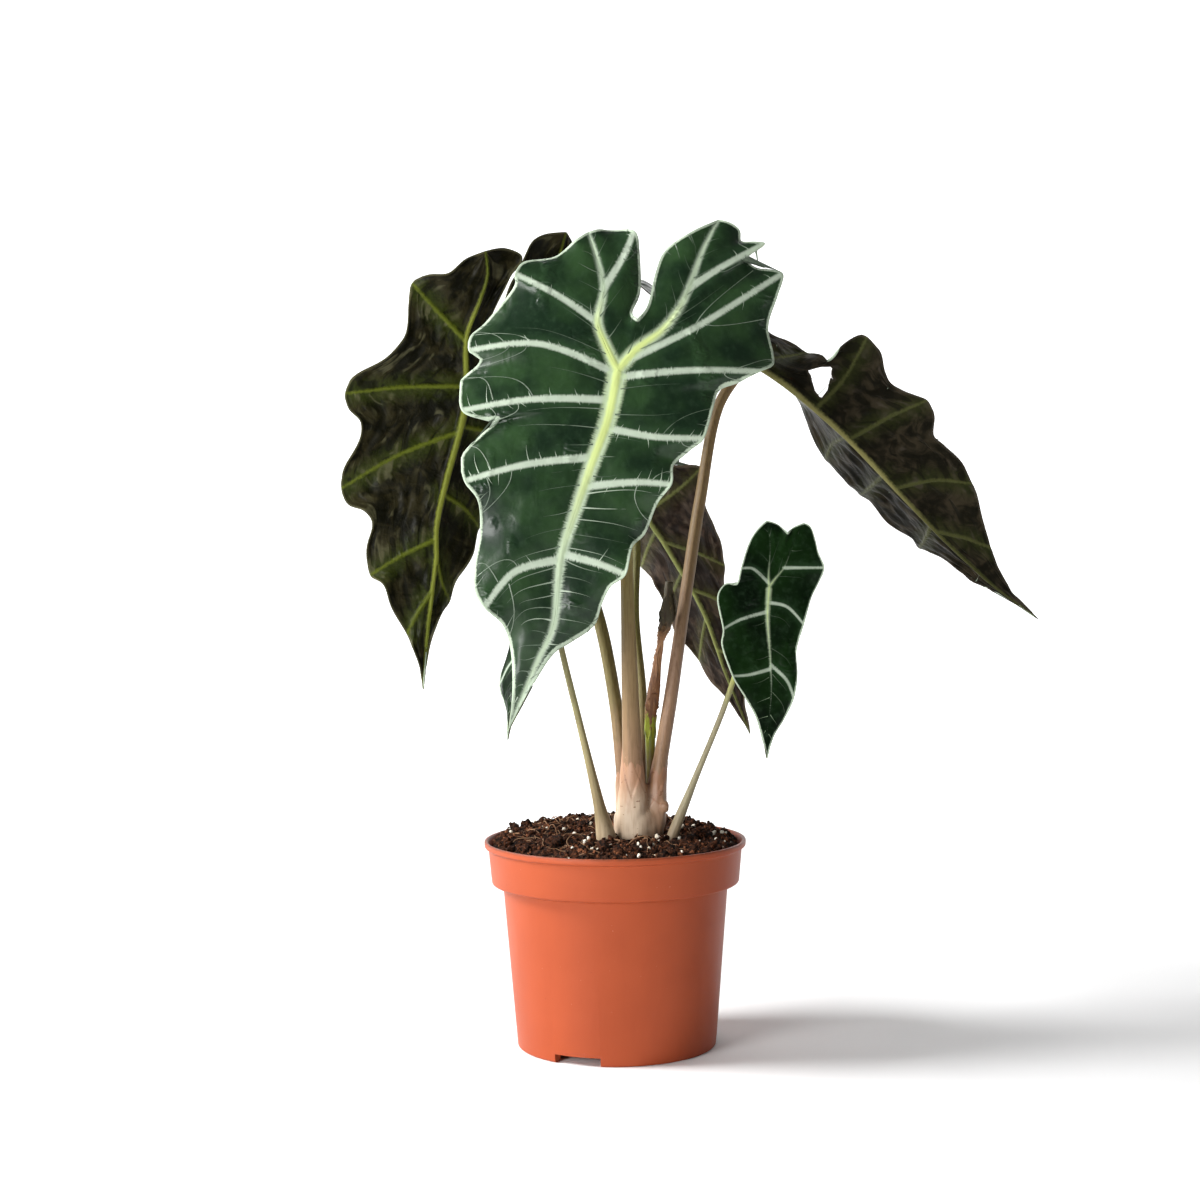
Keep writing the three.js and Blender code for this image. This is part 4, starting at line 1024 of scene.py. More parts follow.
def make_blade(leaf, upper, under):
    sheet, scale = Sheet(leaf), leaf.scale
    if "gap" in leaf.data:
        sheet.cut(points_of(leaf.data["gap"]))
    flat, count = sheet.flat, len(sheet.flat)
    border = border_of(sheet.triangles)
    spines, veins = leaf.vein_spots()
    from_spine, spine_place, spine_run = nearest(flat, spines)
    from_vein, vein_place, vein_run = nearest(flat, veins)
    rims = [spots_along(flat[pair], np.zeros(2), np.zeros(2), 0.25) for pair in border]
    from_rim = nearest(flat, np.concatenate(rims))[0]
    spine_width = leaf.spine_width(spine_place)
    vein_width = BLADE.vein_width * scale * (1.15 - vein_place)

    quilt = BLADE.quilt * scale * noise(np.c_[flat, 0 * flat[:, :1]], 5.0, 3)
    folds = np.c_[sheet.run / BLADE.pucker_size[0], sheet.side / BLADE.pucker_size[1], flat[:, 0] / 25]
    quilt = quilt + BLADE.pucker.get(leaf.name, 0) * noise(folds, 1.0, 7)
    calm = smooth(from_vein - vein_width, 0, BLADE.calm) * smooth(from_spine - spine_width, 0, BLADE.calm)
    middle = leaf.point(flat, sheet.lift + quilt * calm)
    p, q, r = (middle[sheet.triangles[:, k]] for k in range(3))
    normals = np.zeros_like(middle)
    for k in range(3):
        np.add.at(normals, sheet.triangles[:, k], np.cross(q - p, r - p))
    normals = unit(normals) * leaf.hand

    spine_rib = BLADE.midrib_height * spine_width / BLADE.midrib_width * ridge(from_spine, spine_width)
    vein_rib = BLADE.vein_height * scale * (1 - vein_place) ** BLADE.thinning * np.minimum(1, from_rim / 6)
    rib = np.maximum(spine_rib, vein_rib * ridge(from_vein, vein_width))
    thick = mix(BLADE.edge_thickness / 2, leaf.half, smooth(from_rim, 0, 4))
    bead = BLADE.bead * np.exp(-((from_rim / BLADE.bead_width) ** 2))
    top = middle + normals * (thick + BLADE.upper_rib * rib + bead)[:, None]
    bottom = middle - normals * (thick + rib + bead * BLADE.under_bead)[:, None]

    # the rounded edge: one more row of points between the two faces, pushed outwards
    outward = np.zeros_like(middle)
    step = unit(middle[border[:, 1]] - middle[border[:, 0]])
    for k in (0, 1):
        np.add.at(outward, border[:, k], np.cross(step, normals[border[:, k]] * leaf.hand))
    rim = np.unique(border)
    rim_points = middle[rim] + unit(outward[rim]) * BLADE.edge_rounding
    rim_index = {n: 2 * count + k for k, n in enumerate(rim)}
    triangles = sheet.triangles[:, :: leaf.hand]
    faces = triangles.tolist() + (triangles[:, ::-1] + count).tolist()
    kinds = [0] * len(triangles) + [1] * len(triangles)
    for i, j in border[:, :: leaf.hand].tolist():
        faces += [[j, i, rim_index[i], rim_index[j]], [rim_index[j], rim_index[i], i + count, j + count]]
        kinds += [int(leaf.name in BLADE.pucker), 1]

    # distances from the painted edges of the veins, in mm of a full-sized blade
    share = spine_width / (BLADE.midrib_width * scale)
    values = {
        "core": from_spine / scale - PAINTED.core * share**0.5,
        "spine": from_spine / scale - painted_spine(share),
        "vein": from_vein / scale - mix(PAINTED.vein_root, PAINTED.vein_end, vein_place),
        "rim": from_rim / scale**0.7,
        "fresh": np.exp(-((spine_run / (PAINTED.fresh * scale)) ** 1.6)),
        "spine_run": spine_run / scale,
        "vein_run": vein_run / scale,
        "under_spine": from_spine / scale - PAINTED.under_spine * (0.35 + 0.65 * share),
        "under_vein": from_vein / scale - PAINTED.under_vein * (1.1 - 0.6 * vein_place),
        "run": sheet.run,
        "side": sheet.side,
    }
    values = {key: np.concatenate([numbers, numbers, numbers[rim]]) for key, numbers in values.items()}
    shape = np.concatenate([top, bottom, rim_points]), faces
    blade = make_mesh(f"blade_{leaf.name}", shape, [upper, under], values)
    blade.data.polygons.foreach_set("material_index", kinds)
    place(blade, "leaf_blade", f"leaf_{leaf.name}")


# ---------- thin veins ----------


class Strokes:
    """Thin raised veins on the upper face: tapering ribbons that follow the surface of their bay."""

    def __init__(self, leaf, seed):
        self.leaf, self.parts, self.tones = leaf, [], []
        self.rng = np.random.default_rng(seed)

    def draw(self, bay, t, v, width, tone):
        """A ribbon along places t, v of a bay. Its width, in mm, and its tone are given from root to tip."""
        keep = (t > 0.004) & (t < 0.996) & (v > 0.004) & (v < 0.99)
        t, v, width, tone = (np.asarray(x)[keep] for x in (t, v, width, tone))
        if len(t) < 3:
            return
        step = 0.004
        by_t = (bay.flat(t + step, v) - bay.flat(t - step, v)) / (2 * step)
        by_v = (bay.flat(t, v + step) - bay.flat(t, v - step)) / (2 * step)
        forward = unit(np.gradient(bay.flat(t, v), axis=0))
        aside = np.stack([-forward[:, 1], forward[:, 0]], -1) * (width / 2)[:, None]
        area = by_t[:, 0] * by_v[:, 1] - by_t[:, 1] * by_v[:, 0]
        if np.abs(area).min() < 1:
            return
        dt = (aside[:, 0] * by_v[:, 1] - aside[:, 1] * by_v[:, 0]) / area
        dv = (by_t[:, 0] * aside[:, 1] - by_t[:, 1] * aside[:, 0]) / area
        normal = bay.normal(t, v)
        raised = self.leaf.half + 0.25 * BLADE.quilt + THIN.clear
        rows = []
        for side, height in ((-1, 0.0), (0, THIN.height), (1, 0.0)):
            at = bay.surface(np.clip(t + side * dt, 0, 1), np.clip(v + side * dv, 0, 1))
            rows.append(at + normal * (raised + height * np.minimum(1, width / 0.5))[:, None])
        self.parts.append((np.stack(rows, 1).reshape(-1, 3), grid_faces(len(t), 3)))
        self.tones.append(np.repeat(tone, 3))

    def sides(self, bay):
        """The veins beside a bay, each with its place t and the way from it into the bay."""
        return [side for side in ((bay.one, 0.0, 1), (bay.two, 1.0, -1)) if side[0].real]

    def spurs(self, bay):
        """Short thorn-like side veins that leave a vein squarely."""
        rng, scale, s = self.rng, self.leaf.scale, np.linspace(0, 1, 6)
        for vein, near, sign in self.sides(bay):
            length = vein.line.run[-1]
            run = rng.uniform(4, 9) * scale
            while run < length * 0.92:
                v0 = run / length
                gap = float(bay.gap(v0))
                reach = scale * (rng.uniform(1.4, 2.4) if rng.random() < 0.8 else rng.uniform(3, 6))
                if gap > 3 * scale:
                    root = mix(PAINTED.vein_root, PAINTED.vein_end, v0) * 0.8 * scale / gap
                    t = near + sign * (root + s * min(reach / gap, 0.4))
                    v = v0 + s * reach / length * rng.uniform(-0.1, 0.6)
                    width = scale * mix(rng.uniform(0.4, 0.7), 0.05, s**0.7)
                    self.draw(bay, t, v, width, mix(rng.uniform(0.55, 0.95), 0.4, s))
                run += rng.uniform(4, 10) * scale

    def loops(self, bay):
        """Thin veins that leave the outer part of a vein and bend round to the edge."""
        rng, scale, s = self.rng, self.leaf.scale, np.linspace(0, 1, 16)
        for vein, near, sign in self.sides(bay):
            if vein.line.run[-1] < 18 * scale:
                continue
            for v0 in (rng.uniform(0.45, 0.6), rng.uniform(0.68, 0.8)):
                if rng.random() < 0.5:
                    continue
                t = near + sign * rng.uniform(0.2, 0.4) * (1 - (1 - s) ** 2)
                v = v0 + (0.99 - v0) * s**1.7
                width = scale * mix(rng.uniform(0.4, 0.6), 0.28, np.minimum(1, s * 1.6))
                self.draw(bay, t, v, width, rng.uniform(0.25, 0.65) * (1 - 0.4 * np.sin(np.pi * s)))

    def rungs(self, bay, few):
        """Thin veins from the midrib towards the edge, most of them on the lower blade."""
        rng, scale, s = self.rng, self.leaf.scale, np.linspace(0, 1, 18)
        is_low = min(bay.one.where, bay.two.where) > 0.3
        on_spine = np.linalg.norm(bay.spine(bay.one.where) - bay.spine(bay.two.where))
        apart = THIN.low_rungs if is_low else THIN.rungs
        count = int(int(on_spine / (apart * scale)) * (THIN.sparse if few else 1))
        for k in range(count):
            t0 = (k + rng.uniform(0.35, 0.65)) / count
            share = float(self.leaf.spine_width(bay.where(t0))) / (BLADE.midrib_width * scale)
            start = min(0.6, max(1.6, 1.1 * painted_spine(share)) * scale / max(float(bay.reach(t0)), 1))
            end = rng.uniform(0.5, 0.97) if is_low else rng.uniform(0.3, 0.7)
            v = start + (end - start) * s
            t = t0 + rng.uniform(-0.02, 0.02) * np.sin(np.pi * s) + 0.02 * s
            strong = rng.uniform(0.1, 1.0) if is_low else rng.uniform(0.15, 0.4)
            width = scale * mix(rng.uniform(0.5, 1.0), 0.14, s**0.6) * mix(0.6, 1.0, strong)
            self.draw(bay, t, v, width, strong * mix(1.0, 0.35, s))

    def edge_ticks(self, bay):
        """Short thin veins that come in from the edge."""
        rng, scale, s = self.rng, self.leaf.scale, np.linspace(0, 1, 8)
        length = run_of(bay.edge(np.linspace(bay.one.at_edge, bay.two.at_edge, 24)))[-1]
        for _ in range(int(length / (THIN.ticks * scale))):
            t0 = rng.uniform(0.05, 0.95)
            reach = float(bay.reach(t0))
            if reach < 10 * scale:
                continue
            v = 0.985 - s * rng.uniform(2.5, 8) * scale / reach
            t = t0 + rng.uniform(-0.06, 0.06) * s
            width = scale * mix(rng.uniform(0.35, 0.55), 0.08, s**0.7)
            self.draw(bay, t, v, width, rng.uniform(0.25, 0.6) * mix(1.0, 0.4, s))

    def make(self, paint, few):
        for bay in self.leaf.bays:
            self.rungs(bay, few)
            if not few:
                self.spurs(bay)
                self.loops(bay)
                self.edge_ticks(bay)
        name, tones = self.leaf.name, {"tone": np.concatenate(self.tones)}
        place(make_mesh(f"thin_veins_{name}", joined(self.parts), paint, tones), "leaf_blade", f"leaf_{name}")


# ---------- stalks and shoots ----------


def curve_through(points):
    """A curve through points in space that doesn't overshoot where they lie close together."""
    points = np.array(points, float)
    points = np.vstack([2 * points[0] - points[1], points, 2 * points[-1] - points[-2]])

    def at(place):
        k = np.clip(place, 0, 1) * (len(points) - 3)
        i = np.minimum(k.astype(int), len(points) - 4)
        x0, x1, x2, x3 = (points[i + n] for n in range(4))
        steps = (x1 - x0, x2 - x1, x3 - x2)
        d0, d1, d2 = (np.linalg.norm(step, axis=1)[:, None] ** 0.5 for step in steps)
        leaving = ((x1 - x0) / d0 - (x2 - x0) / (d0 + d1) + (x2 - x1) / d1) * d1
        arriving = ((x2 - x1) / d1 - (x3 - x1) / (d1 + d2) + (x3 - x2) / d2) * d1
        return hermite(x1, x2, leaving, arriving, (k - i)[:, None])

    return at


def radius_along(radii, places):
    return Spline(np.c_[np.arange(len(radii)), radii]).at(places)[:, 1]


def tube(path, radii, steps, sides, shape=None):
    """The shape of a closed round bar. The change of its radius is shape(height share, angle)."""
    places, angle = np.linspace(0, 1, steps + 1), circle(sides)
    centres = curve_through(path)(places)
    forward = unit(np.gradient(centres, axis=0))
    aside = np.zeros_like(centres)
    aside[0] = unit(np.cross(forward[0], [0, 1, 0]))
    for i in range(1, len(centres)):
        aside[i] = unit(aside[i - 1] - aside[i - 1] @ forward[i] * forward[i])
    other = np.cross(forward, aside)
    wide = radius_along(radii, places)[:, None] + (shape(places[:, None], angle) if shape else 0 * angle)
    rings = np.cos(angle)[:, None] * aside[:, None] + np.sin(angle)[:, None] * other[:, None]
    return capped(centres[:, None] + wide[..., None] * rings, centres[0], centres[-1])


def make_bar(name, shape, paint, slot, node, steps=BAR.steps, sides=BAR.sides):
    """A piece made as a tube, with the height share of each point as a value."""
    heights = np.r_[np.repeat(np.linspace(0, 1, steps + 1), sides), 0, 1]
    place(make_mesh(name, shape, paint, {"height": heights}), slot, node)


def make_stalk(leaf, paint, seed):
    head = leaf.joint - leaf.normal * (leaf.half + BLADE.midrib_height * leaf.scale * 0.6)
    path, radii = STALKS[leaf.name]
    phase = np.random.default_rng(seed).uniform(0, FULL_TURN, 4)

    def shape(u, angle):
        ridges = 0.09 * np.cos(9 * angle + phase[0] + 2 * u) + 0.07 * np.cos(5 * angle + phase[1])
        bulges = 0.07 * np.sin(9 * u + phase[2]) + 0.05 * np.sin(23 * u + phase[3])
        return ridges + bulges - 0.12 * np.cos(2 * angle)

    made = tube([*points_of(path), head - leaf.normal * NECK, head], radii, BAR.steps, BAR.sides, shape)
    make_bar(f"petiole_{leaf.name}", made, paint, "leaf_stalk", f"stalk_{leaf.name}")


def make_shoot(paint):
    def shape(u, angle):
        return 0.12 * np.cos(3 * angle + 4 * u)

    steps, sides = 40, 20
    made = tube(points_of(SHOOT[0]), SHOOT[1], steps, sides, shape)
    make_bar("bud_shoot", made, paint, "green_shoot", "green_shoot", steps, sides)


def make_withered(paint):
    """The dried sheath: a wrinkled core with rolled, ragged scraps round its upper part."""
    path, radii = points_of(WITHERED[0]), WITHERED[1]
    rng = np.random.default_rng(21)

    def shape(u, angle):
        folds = 0.3 * np.cos(3 * angle + 9 * u) + 0.16 * np.cos(7 * angle - 14 * u)
        return folds * mix(0.5, 1.1, u) + 0.2 * np.sin(31 * u) * np.sin(2 * angle)

    parts = [tube(path, radii, 90, 20, shape)]
    rows, columns = 26, 7
    for start, end, turn, stand in SCRAPS:
        u = np.linspace(start, end, rows)
        made = []
        for k in range(columns):
            share = k / (columns - 1) - 0.5
            spread = 1.0 + 0.3 * np.sin(np.linspace(0, 9, rows) + turn)
            angle = math.radians(turn) + 2.0 * share * spread + 0.8 * (u - start)
            ragged = rng.uniform(-0.35, 0.35, rows) * (abs(share) == 0.5)
            curl = stand * np.abs(2 * share) ** 2 * np.sin(np.pi * (u - start) / (end - start))
            away = radius_along(radii, u) + 0.12 + curl + ragged
            drop = np.where(u > end - 0.04, rng.uniform(-2.5, 0.8), 0)
            made.append(curve_through(path)(u) + np.c_[away[:, None] * around(angle), drop])
        parts.append((np.stack(made, 1).reshape(-1, 3), grid_faces(rows, columns)))
    # the foot: a torn hem that hangs over the top of the green shoot
    rows, columns = 9, 60
    turn = circle(columns)
    torn = 9 * np.abs(noise(np.c_[3 * around(turn), 0 * turn], 1.1, 4)) ** 0.7
    torn = torn + rng.uniform(0, 0.7, columns)
    share = np.linspace(0, 1, rows)[:, None]
    height = mix(151.5, 146.5 - torn, share)
    core = np.interp(height, [124, 147, 152], [2.15, 2.45, 2.85])
    wide = core + 0.16 + 0.12 * np.cos(5 * turn) + 0.35 * share**3
    axis = np.interp(height, [124, 147, 155], [16.5, 16.7, 17.4])
    hem = np.stack([axis + wide * np.cos(turn), 5 + wide * np.sin(turn), height], -1)
    parts.append((hem.reshape(-1, 3), grid_faces(rows, columns, closed=True)))
    place(make_mesh("dried_sheath", joined(parts), paint), "withered_sheath", "withered_sheath")


# ---------- corm ----------


def make_corm(paint):
    """The corm flows into the stalks that it feeds, with the pointed edges of their wrapped bases."""
    u, angle = np.linspace(0, 1, 41)[:, None], circle(64)
    swell = 1 - CORM.taper * (2 * u - 1) ** 2 - CORM.shoulder * smooth(u, 0.75, 1)
    swell = swell * (1 + 0.03 * np.cos(CORM.ridges * angle + CORM.twist * u))
    height = mix(CORM.foot, CORM.top, u) + 0 * angle
    flat = CORM.place + CORM.radius * swell[..., None] * around(angle)
    body = np.concatenate([flat, height[..., None]], -1)
    parts = [capped(body, [*CORM.place, CORM.foot], [*CORM.place, CORM.top])]
    for name, (top, wide) in SHEATHS.items():
        path, radii = STALKS[name]
        line = curve_through(points_of(path))(np.linspace(0, 1, 400))
        line = line[line[:, 2] < top][::14]
        start = line[0] - [0, 0, 8]
        start[:2] = mix(start[:2], CORM.place, 0.25)
        line = np.vstack([start, line])
        radius = np.interp(line[:, 2], [104, 126, 160], radii[:3])
        parts.append(tube(line, radius - 0.35 + (wide + 0.2) * (1 - smooth(line[:, 2], 110, top)), 40, 32))
    lump, faces = lump_shape(3)
    parts.append((lump * CORM.bud + CORM.bud_place, faces))
    made = make_mesh("corm_sheaths", joined(parts), paint)
    remesh = made.modifiers.new("join", "REMESH")
    remesh.mode, remesh.voxel_size, remesh.use_smooth_shade = "VOXEL", CORM.cell * MM, True
    soften = made.modifiers.new("soften", "SMOOTH")
    soften.factor, soften.iterations = 0.6, 14
    dress_corm(applied(made).data)
    place(made, "corm", "corm")


def dress_corm(mesh):
    """Raises the wrapped bases one over the other along pointed edges, and wrinkles the skin."""
    count = len(mesh.vertices)
    co, normal = np.zeros(count * 3), np.zeros(count * 3)
    mesh.vertices.foreach_get("co", co)
    mesh.vertex_normals.foreach_get("vector", normal)
    co, normal = co.reshape(-1, 3) / MM, normal.reshape(-1, 3)
    x, y = (co[:, :2] - CORM.place).T
    angle = np.degrees(np.arctan2(y, x))
    edge, push = np.zeros(count), np.zeros(count)
    for at, lowest, slope, step in WRAPS:
        turn = np.abs((angle - at + 180) % 360 - 180)
        above = co[:, 2] - (lowest + slope * turn)
        push -= step * smooth(above, -0.5, 0.5) * (turn < 70)
        edge = np.maximum(edge, np.exp(-((above / 0.45) ** 2)) * (turn < 60))
    wrinkle = 0.16 * noise(co * [1, 1, 0.25], 1.4, 5) + 0.22 * noise(co, 5, 8)
    co = co + normal * (push + wrinkle)[:, None]
    mesh.vertices.foreach_set("co", (co * MM).ravel())
    set_value(mesh, "edge", edge)
    mesh.update()


# ---------- soil ----------


def soil_height(x, y):
    reach = np.hypot(x, y) / SOIL.radius
    spot = np.stack([x, y, 0 * x], -1)
    clumps = 1.5 * noise(spot, 11, 1) + 1.0 * noise(spot, 4.6, 2) + 0.7 * np.abs(noise(spot, 2.0, 3))
    back = SOIL.back_rise * smooth(y, SOIL.back_from, SOIL.back_to)
    rim = -1.6 * smooth(reach, 0.9, 1.0)
    return SOIL.top + SOIL.crown * (1 - reach**2) + clumps + 0.4 * noise(spot, 0.9, 4) + back + rim


def soil_spot(rng, share):
    """A random place on the soil, within a share of its radius."""
    reach, angle = SOIL.radius * math.sqrt(rng.random()) * share, rng.uniform(0, FULL_TURN)
    return reach * around(angle)


def make_soil(paint):
    rings, sides = 110, 300
    radius = np.linspace(0, 1, rings + 1)[1:] ** 0.8 * SOIL.radius
    x, y = np.moveaxis(radius[:, None, None] * around(circle(sides)), -1, 0)
    top = np.stack([x, y, soil_height(x, y)], -1)
    skirt = top[-1] * [0.995, 0.995, 0] + [0, 0, SOIL.top - SOIL.depth]
    middle = [0, 0, soil_height(*np.zeros((2, 1)))[0]]
    points = np.concatenate([top.reshape(-1, 3), skirt, [middle]])
    faces = grid_faces(rings + 1, sides, closed=True)
    faces += [[len(points) - 1, j, (j + 1) % sides] for j in range(sides)]
    place(make_mesh("peat", (points, faces), paint), "soil", "soil")


def lump_shape(level):
    shape = bmesh.new()
    bmesh.ops.create_icosphere(shape, subdivisions=level, radius=1)
    points = np.array([list(v.co) for v in shape.verts])
    faces = [[v.index for v in face.verts] for face in shape.faces]
    shape.free()
    return points, faces


def scatter(name, paint, count, sizes, squash, seed, level, sink, ragged=0.45, spots=()):
    """Uneven lumps strewn over the soil, turned at random and part sunk, the first ones at given spots."""
    rng = np.random.default_rng(seed)
    base, faces = lump_shape(level)
    lumps = []
    for n in range(count):
        spot = np.array(spots[n]) if n < len(spots) else soil_spot(rng, 0.985)
        if math.hypot(*(spot - CORM.place)) < CORM.radius - 0.5:
            continue
        size = rng.uniform(*sizes) * rng.uniform(0.6, 1.0)
        grain = base + rng.uniform(0, 99, 3)
        shape = base * (1 + 0.5 * noise(grain, 0.7, seed) + ragged * noise(grain, 0.33, seed + 9))[:, None]
        shape = shape * rng.uniform(squash, 1, 3) * size
        turn = np.array(Matrix.Rotation(rng.uniform(0, 6.28), 3, rng.normal(size=3)))
        height = soil_height(*spot[:, None])[0] + size * (0.5 - sink)
        lumps.append((shape @ turn + [*spot, height], faces))
    place(make_mesh(name, joined(lumps), paint), "soil", "soil")


def make_fibres(paint, count=130):
    """Fine root fibres that lie over the soil in bends, some standing clear of it."""
    rng = np.random.default_rng(12)
    fibres = []
    for _ in range(count):
        path = [soil_spot(rng, 0.93)]
        heading, length = rng.uniform(0, FULL_TURN), rng.uniform(7, 24)
        for _ in range(5):
            heading += rng.uniform(-0.7, 0.7)
            path.append(path[-1] + length / 5 * around(heading))
        x, y = np.array(path).T
        if np.hypot(x, y).max() > SOIL.radius - 1:
            continue
        arch = rng.uniform(0.1, 3.2) * (rng.random() < 0.4) + 0.2
        lift = arch * np.sin(np.linspace(0, np.pi, 6)) + rng.uniform(-0.2, 0.5, 6)
        width = rng.uniform(0.12, 0.3)
        fibres.append(tube(np.c_[x, y, soil_height(x, y) + lift], [width, width, width * 0.5], 24, 6))
    place(make_mesh("root_fibres", joined(fibres), paint), "soil", "soil")


# ---------- pot ----------


def rounded(corners, radius, steps=5):
    """A profile with each corner but the first and last rounded off."""
    corners = np.array(corners, float)
    made = [corners[0]]
    for before, corner, after in zip(corners, corners[1:], corners[2:]):
        back, on = before - corner, after - corner
        size = min(radius, 0.45 * np.linalg.norm(back), 0.45 * np.linalg.norm(on))
        start, end = corner + unit(back) * size, corner + unit(on) * size
        for s in np.linspace(0, 1, steps):
            made.append((1 - s) ** 2 * start + 2 * s * (1 - s) * corner + s**2 * end)
    made.append(corners[-1])
    return np.array(made)


def make_pot(paint):
    top, wall, foot = POT.height, POT.wall, POT.foot_height
    body_top, lip_bottom, floor_top = top - POT.band_height, top - POT.lip_height, foot + POT.floor
    foot_inner = POT.body_bottom_radius - POT.foot_width
    corners = [
        [0, 0], [POT.pad_radius, 0], [POT.pad_radius + 0.5, foot], [foot_inner, foot], [foot_inner + 0.5, 0],
        [POT.body_bottom_radius, 0], [POT.body_top_radius, body_top],
        [POT.band_bottom_radius, body_top + 0.4], [POT.band_top_radius, lip_bottom - 0.4],
        [POT.lip_radius, lip_bottom + 0.2], [POT.lip_radius, top], [POT.lip_radius - wall, top],
        [POT.band_top_radius - wall, lip_bottom - 0.6], [POT.band_bottom_radius - wall, body_top + 2],
        [POT.body_top_radius - wall, body_top - 2], [POT.body_bottom_radius - wall, floor_top],
        [0, floor_top],
    ]
    profile = rounded(corners, POT.edge_rounding)[1:-1, None]
    angle = circle(POT.segments)
    rings = np.concatenate([profile[..., :1] * around(angle), profile[..., 1:] + 0 * angle[:, None]], -1)
    pot = make_mesh("pot_shell", capped(rings, [0, 0, 0], [0, 0, floor_top]), paint)
    cutter = make_mesh("pot_cutter", joined(pot_cuts()), paint)
    cut = pot.modifiers.new("cut", "BOOLEAN")
    cut.operation, cut.object, cut.solver, cut.use_self = "DIFFERENCE", cutter, "EXACT", True
    applied(pot).data.set_sharp_from_angle(angle=math.radians(40))
    bpy.data.objects.remove(cutter)
    place(pot, "pot_plastic", "pot")


def prism(ring, low, high):
    count = len(ring)
    points = np.array([[x, y, z] for z in (low, high) for x, y in ring])
    return points, [*grid_faces(2, count, closed=True), [*reversed(range(count))], [*range(count, 2 * count)]]


def pot_cuts():
    """The bodies that cut the drain holes and the notches of the foot ring."""
    cuts = []
    for turn in math.radians(POT.hole_angle) + circle(POT.holes):
        hole = POT.hole_circle * around(turn) + POT.hole_radius * around(circle(32))
        cuts.append(prism(hole, 2, 9))
    for turn in math.radians(POT.notch_angle) + circle(POT.notches):
        half = math.radians(POT.notch_arc) / 2
        out = around(np.linspace(turn - half, turn + half, 15))
        outer, inner = POT.body_bottom_radius + 4, POT.body_bottom_radius - 8
        cuts.append(prism(np.concatenate([outer * out, inner * out[::-1]]), -4, POT.foot_height))
    return cuts


# ---------- camera, light and floor ----------

CAMERA = Sizes(place=[-5.8, -1016, 252], pitch=2.64, roll=0.6, focal=2216, frame=1200, sensor=36)
# where the floor starts and ends to glow, and by how much
GLOWS = [(80, 170, 0.02), (280, 1100, 0.8)]
FLOOR = Sizes(rows=[-15000, -1500, 0, 1500], half_width=15000, bend_from=2400, bend=900)
WALL = Sizes(rows=[2500, 4500], half_width=5000, from_depth=2000)
# each round lamp: where it stands and what it looks at in metres, its size in metres and its power in watts
LAMPS = {
    "key": ([-1.5, -0.05, 1.2], [0, 0, 0.14], 0.8, 58),
    "front": ([-1.16, -1.4, 0.42], [0, 0, 0.16], 0.8, 30),
}
SKY = 0.15


def aim(made, where, forward, right):
    up = np.cross(right, forward)
    made.matrix_world = Matrix([[right[k], up[k], -forward[k]] for k in range(3)]).to_4x4()
    made.location = where


def make_camera():
    pitch, roll = math.radians(CAMERA.pitch), math.radians(CAMERA.roll)
    forward = np.array([0, math.cos(pitch), -math.sin(pitch)])
    level = np.array([1.0, 0, 0])
    data = bpy.data.cameras.new("camera")
    data.sensor_width = CAMERA.sensor
    data.lens = CAMERA.sensor * CAMERA.focal / CAMERA.frame
    data.clip_end = 100
    camera = link("camera", data)
    right = level * math.cos(roll) - np.cross(level, forward) * math.sin(roll)
    aim(camera, [c * MM for c in CAMERA.place], forward, right)
    bpy.context.scene.camera = camera


def make_lamp(name, where, target, size, power):
    data = bpy.data.lights.new(name, "AREA")
    data.shape, data.size, data.energy = "DISK", size, power
    forward = unit(np.array(target) - where)
    aim(link(name, data), where, forward, unit(np.cross(forward, [0, 0, 1])))


def make_stage():
    """A white floor that curves up into a white wall behind the plant."""
    p = Paint("studio_floor")
    away = p.node("VectorMath", "Value", {0: p.spot}, operation="LENGTH")
    near, far = (p.ramp(away, start, end) * most for start, end, most in GLOWS)
    p.base = p.colour(p.noise(0.003, 2), (238.6, 238.6, 238.6), (241, 241, 241))
    paint = p.finish(Roughness=0.9, Emission_Color=(1, 1, 1, 1), Emission_Strength=near + far)
    bend = around(np.linspace(0, np.pi / 2, 16)) * FLOOR.bend
    profile = [[y, 0] for y in FLOOR.rows]
    profile += [[FLOOR.bend_from + rise, FLOOR.bend - level] for level, rise in bend]
    profile += [[FLOOR.bend_from + FLOOR.bend, z] for z in WALL.rows]
    rows = []
    for y, z in profile:
        half_width = FLOOR.half_width if y < WALL.from_depth else WALL.half_width
        rows += [[-half_width, y, z], [half_width, y, z]]
    make_mesh("studio_sweep", (rows, grid_faces(len(profile), 2)[::-1]), paint)


def light_scene():
    world = bpy.data.worlds.new("studio")
    world.use_nodes = True
    background = world.node_tree.nodes["Background"]
    background.inputs[0].default_value = (1, 1, 1, 1)
    background.inputs[1].default_value = SKY
    bpy.context.scene.world = world
    bpy.context.scene.view_settings.view_transform = "Standard"
    for name, lamp in LAMPS.items():
        make_lamp(name, *lamp)


# ---------- the plant in its pot ----------

make_camera()
make_stage()
light_scene()

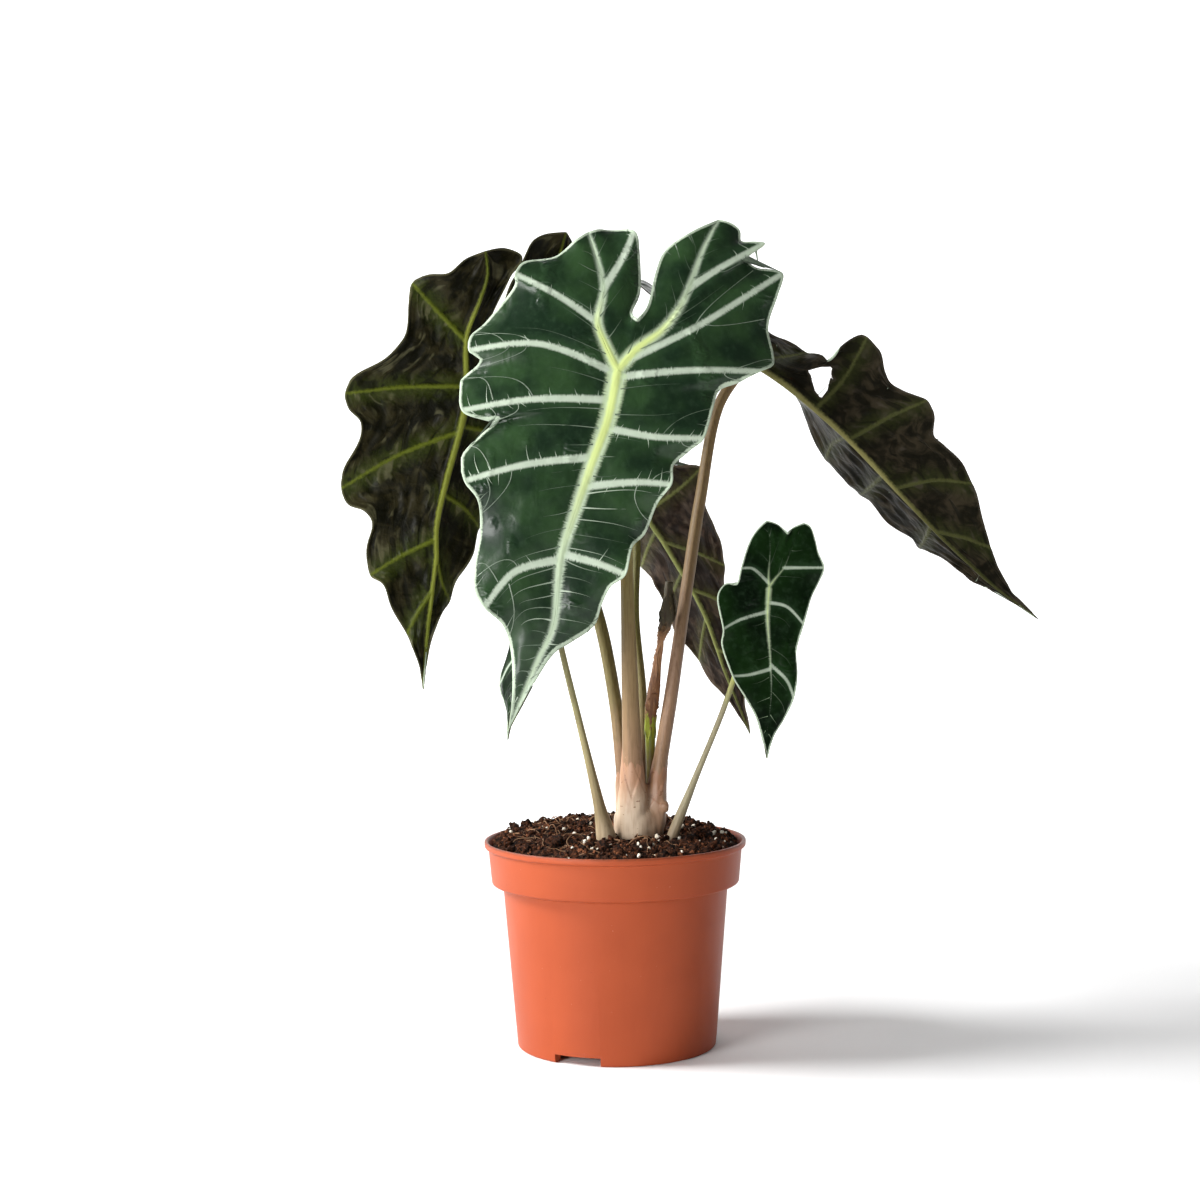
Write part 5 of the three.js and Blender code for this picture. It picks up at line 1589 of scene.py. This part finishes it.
upper = upper_paint("leaf_upper", (15, 33, 18), (36, 59, 31), 0.0)
upper_deep = upper_paint("leaf_upper_deep", (5, 16, 5), (14, 34, 9), 0.3)
thin = stroke_paint("leaf_thin_veins", (30, 54, 30), (166, 180, 160))
thin_deep = stroke_paint("leaf_thin_veins_deep", (12, 28, 10), (104, 122, 94))
# underside colours: dark, light, painted highlight streaks, halo, veins and midrib, and the right blade's
# gloss; the right blade's greyer palette is partly painted sheen, the grey its underside shows at a grazing
# angle
OLIVE_UNDER = (12, 12, 5), (38, 35, 20), (92, 90, 66), (44, 52, 13), (76, 84, 24), (106, 112, 42)
SHEEN_GREY_UNDER = (16, 15, 9), (43, 38, 28), (64, 58, 50), (37, 41, 18), (60, 62, 34), (124, 120, 74), 0.02
DUSKY_UNDER = (30, 23, 18), (66, 54, 45), (112, 100, 84), (56, 54, 28), (98, 102, 58), (140, 146, 86)
olive_under = under_paint("leaf_under_olive", *OLIVE_UNDER)
under = {
    "right": under_paint("leaf_under_grey_sheen", *SHEEN_GREY_UNDER),
    "back": under_paint("leaf_under_dusky", *DUSKY_UNDER),
}
leaves = [Leaf(name) for name in LEAVES]
for number, leaf in enumerate(leaves):
    small = leaf.name.startswith("small")
    make_blade(leaf, upper_deep if small else upper, under.get(leaf.name, olive_under))
    Strokes(leaf, 40 + number).make(thin_deep if small else thin, few=small)

LOW = (138, 108, 81)
olive = stalk_paint("stalk_olive", LOW, (118, 106, 64), (110, 106, 56), (78, 68, 38))
stalk_paints = {
    "front": stalk_paint("stalk_fawn", LOW, (130, 107, 72), (128, 118, 62), (96, 74, 42)),
    "left": olive,
    "right": stalk_paint("stalk_tan", LOW, (132, 104, 82), (128, 106, 70), (94, 70, 50)),
    "back": olive,
    "small_right": stalk_paint(
        "stalk_grey_tan", (126, 108, 86), (134, 126, 98), (156, 164, 72), (108, 98, 76), (0.52, 0.66)
    ),
    "small_left": stalk_paint(
        "stalk_pale_tan", (176, 156, 128), (132, 116, 84), (148, 142, 98), (104, 84, 58)
    ),
}
for number, leaf in enumerate(leaves):
    make_stalk(leaf, stalk_paints[leaf.name], 60 + number)

make_corm(corm_paint())
make_shoot(shoot_paint())
make_withered(withered_paint())

peat = soil_paint("peat", (18, 10, 6), (84, 48, 29))
crumbs = soil_paint("peat_crumbs", (44, 25, 15), (142, 88, 58))
BESIDE_CORM = [(0.5, -13.5), (3.5, -15), (-1.5, -16), (19, -12.5), (22, -9.5), (15.5, -14.5)]
make_soil(peat)
scatter("clods", peat, 150, (2.0, 4.4), 0.5, 2, 3, 0.62, spots=BESIDE_CORM)
scatter("crumbs_dark", peat, 700, (0.6, 2.0), 0.4, 3, 2, 0.35)
scatter("crumbs_brown", crumbs, 1500, (0.3, 1.7), 0.3, 4, 2, 0.3)
scatter("pale_grains", grain_paint(), 80, (0.6, 1.6), 0.6, 5, 2, -0.15, ragged=0.15)
make_fibres(fibre_paint())
make_pot(pot_paint())

bpy.context.view_layer.update()
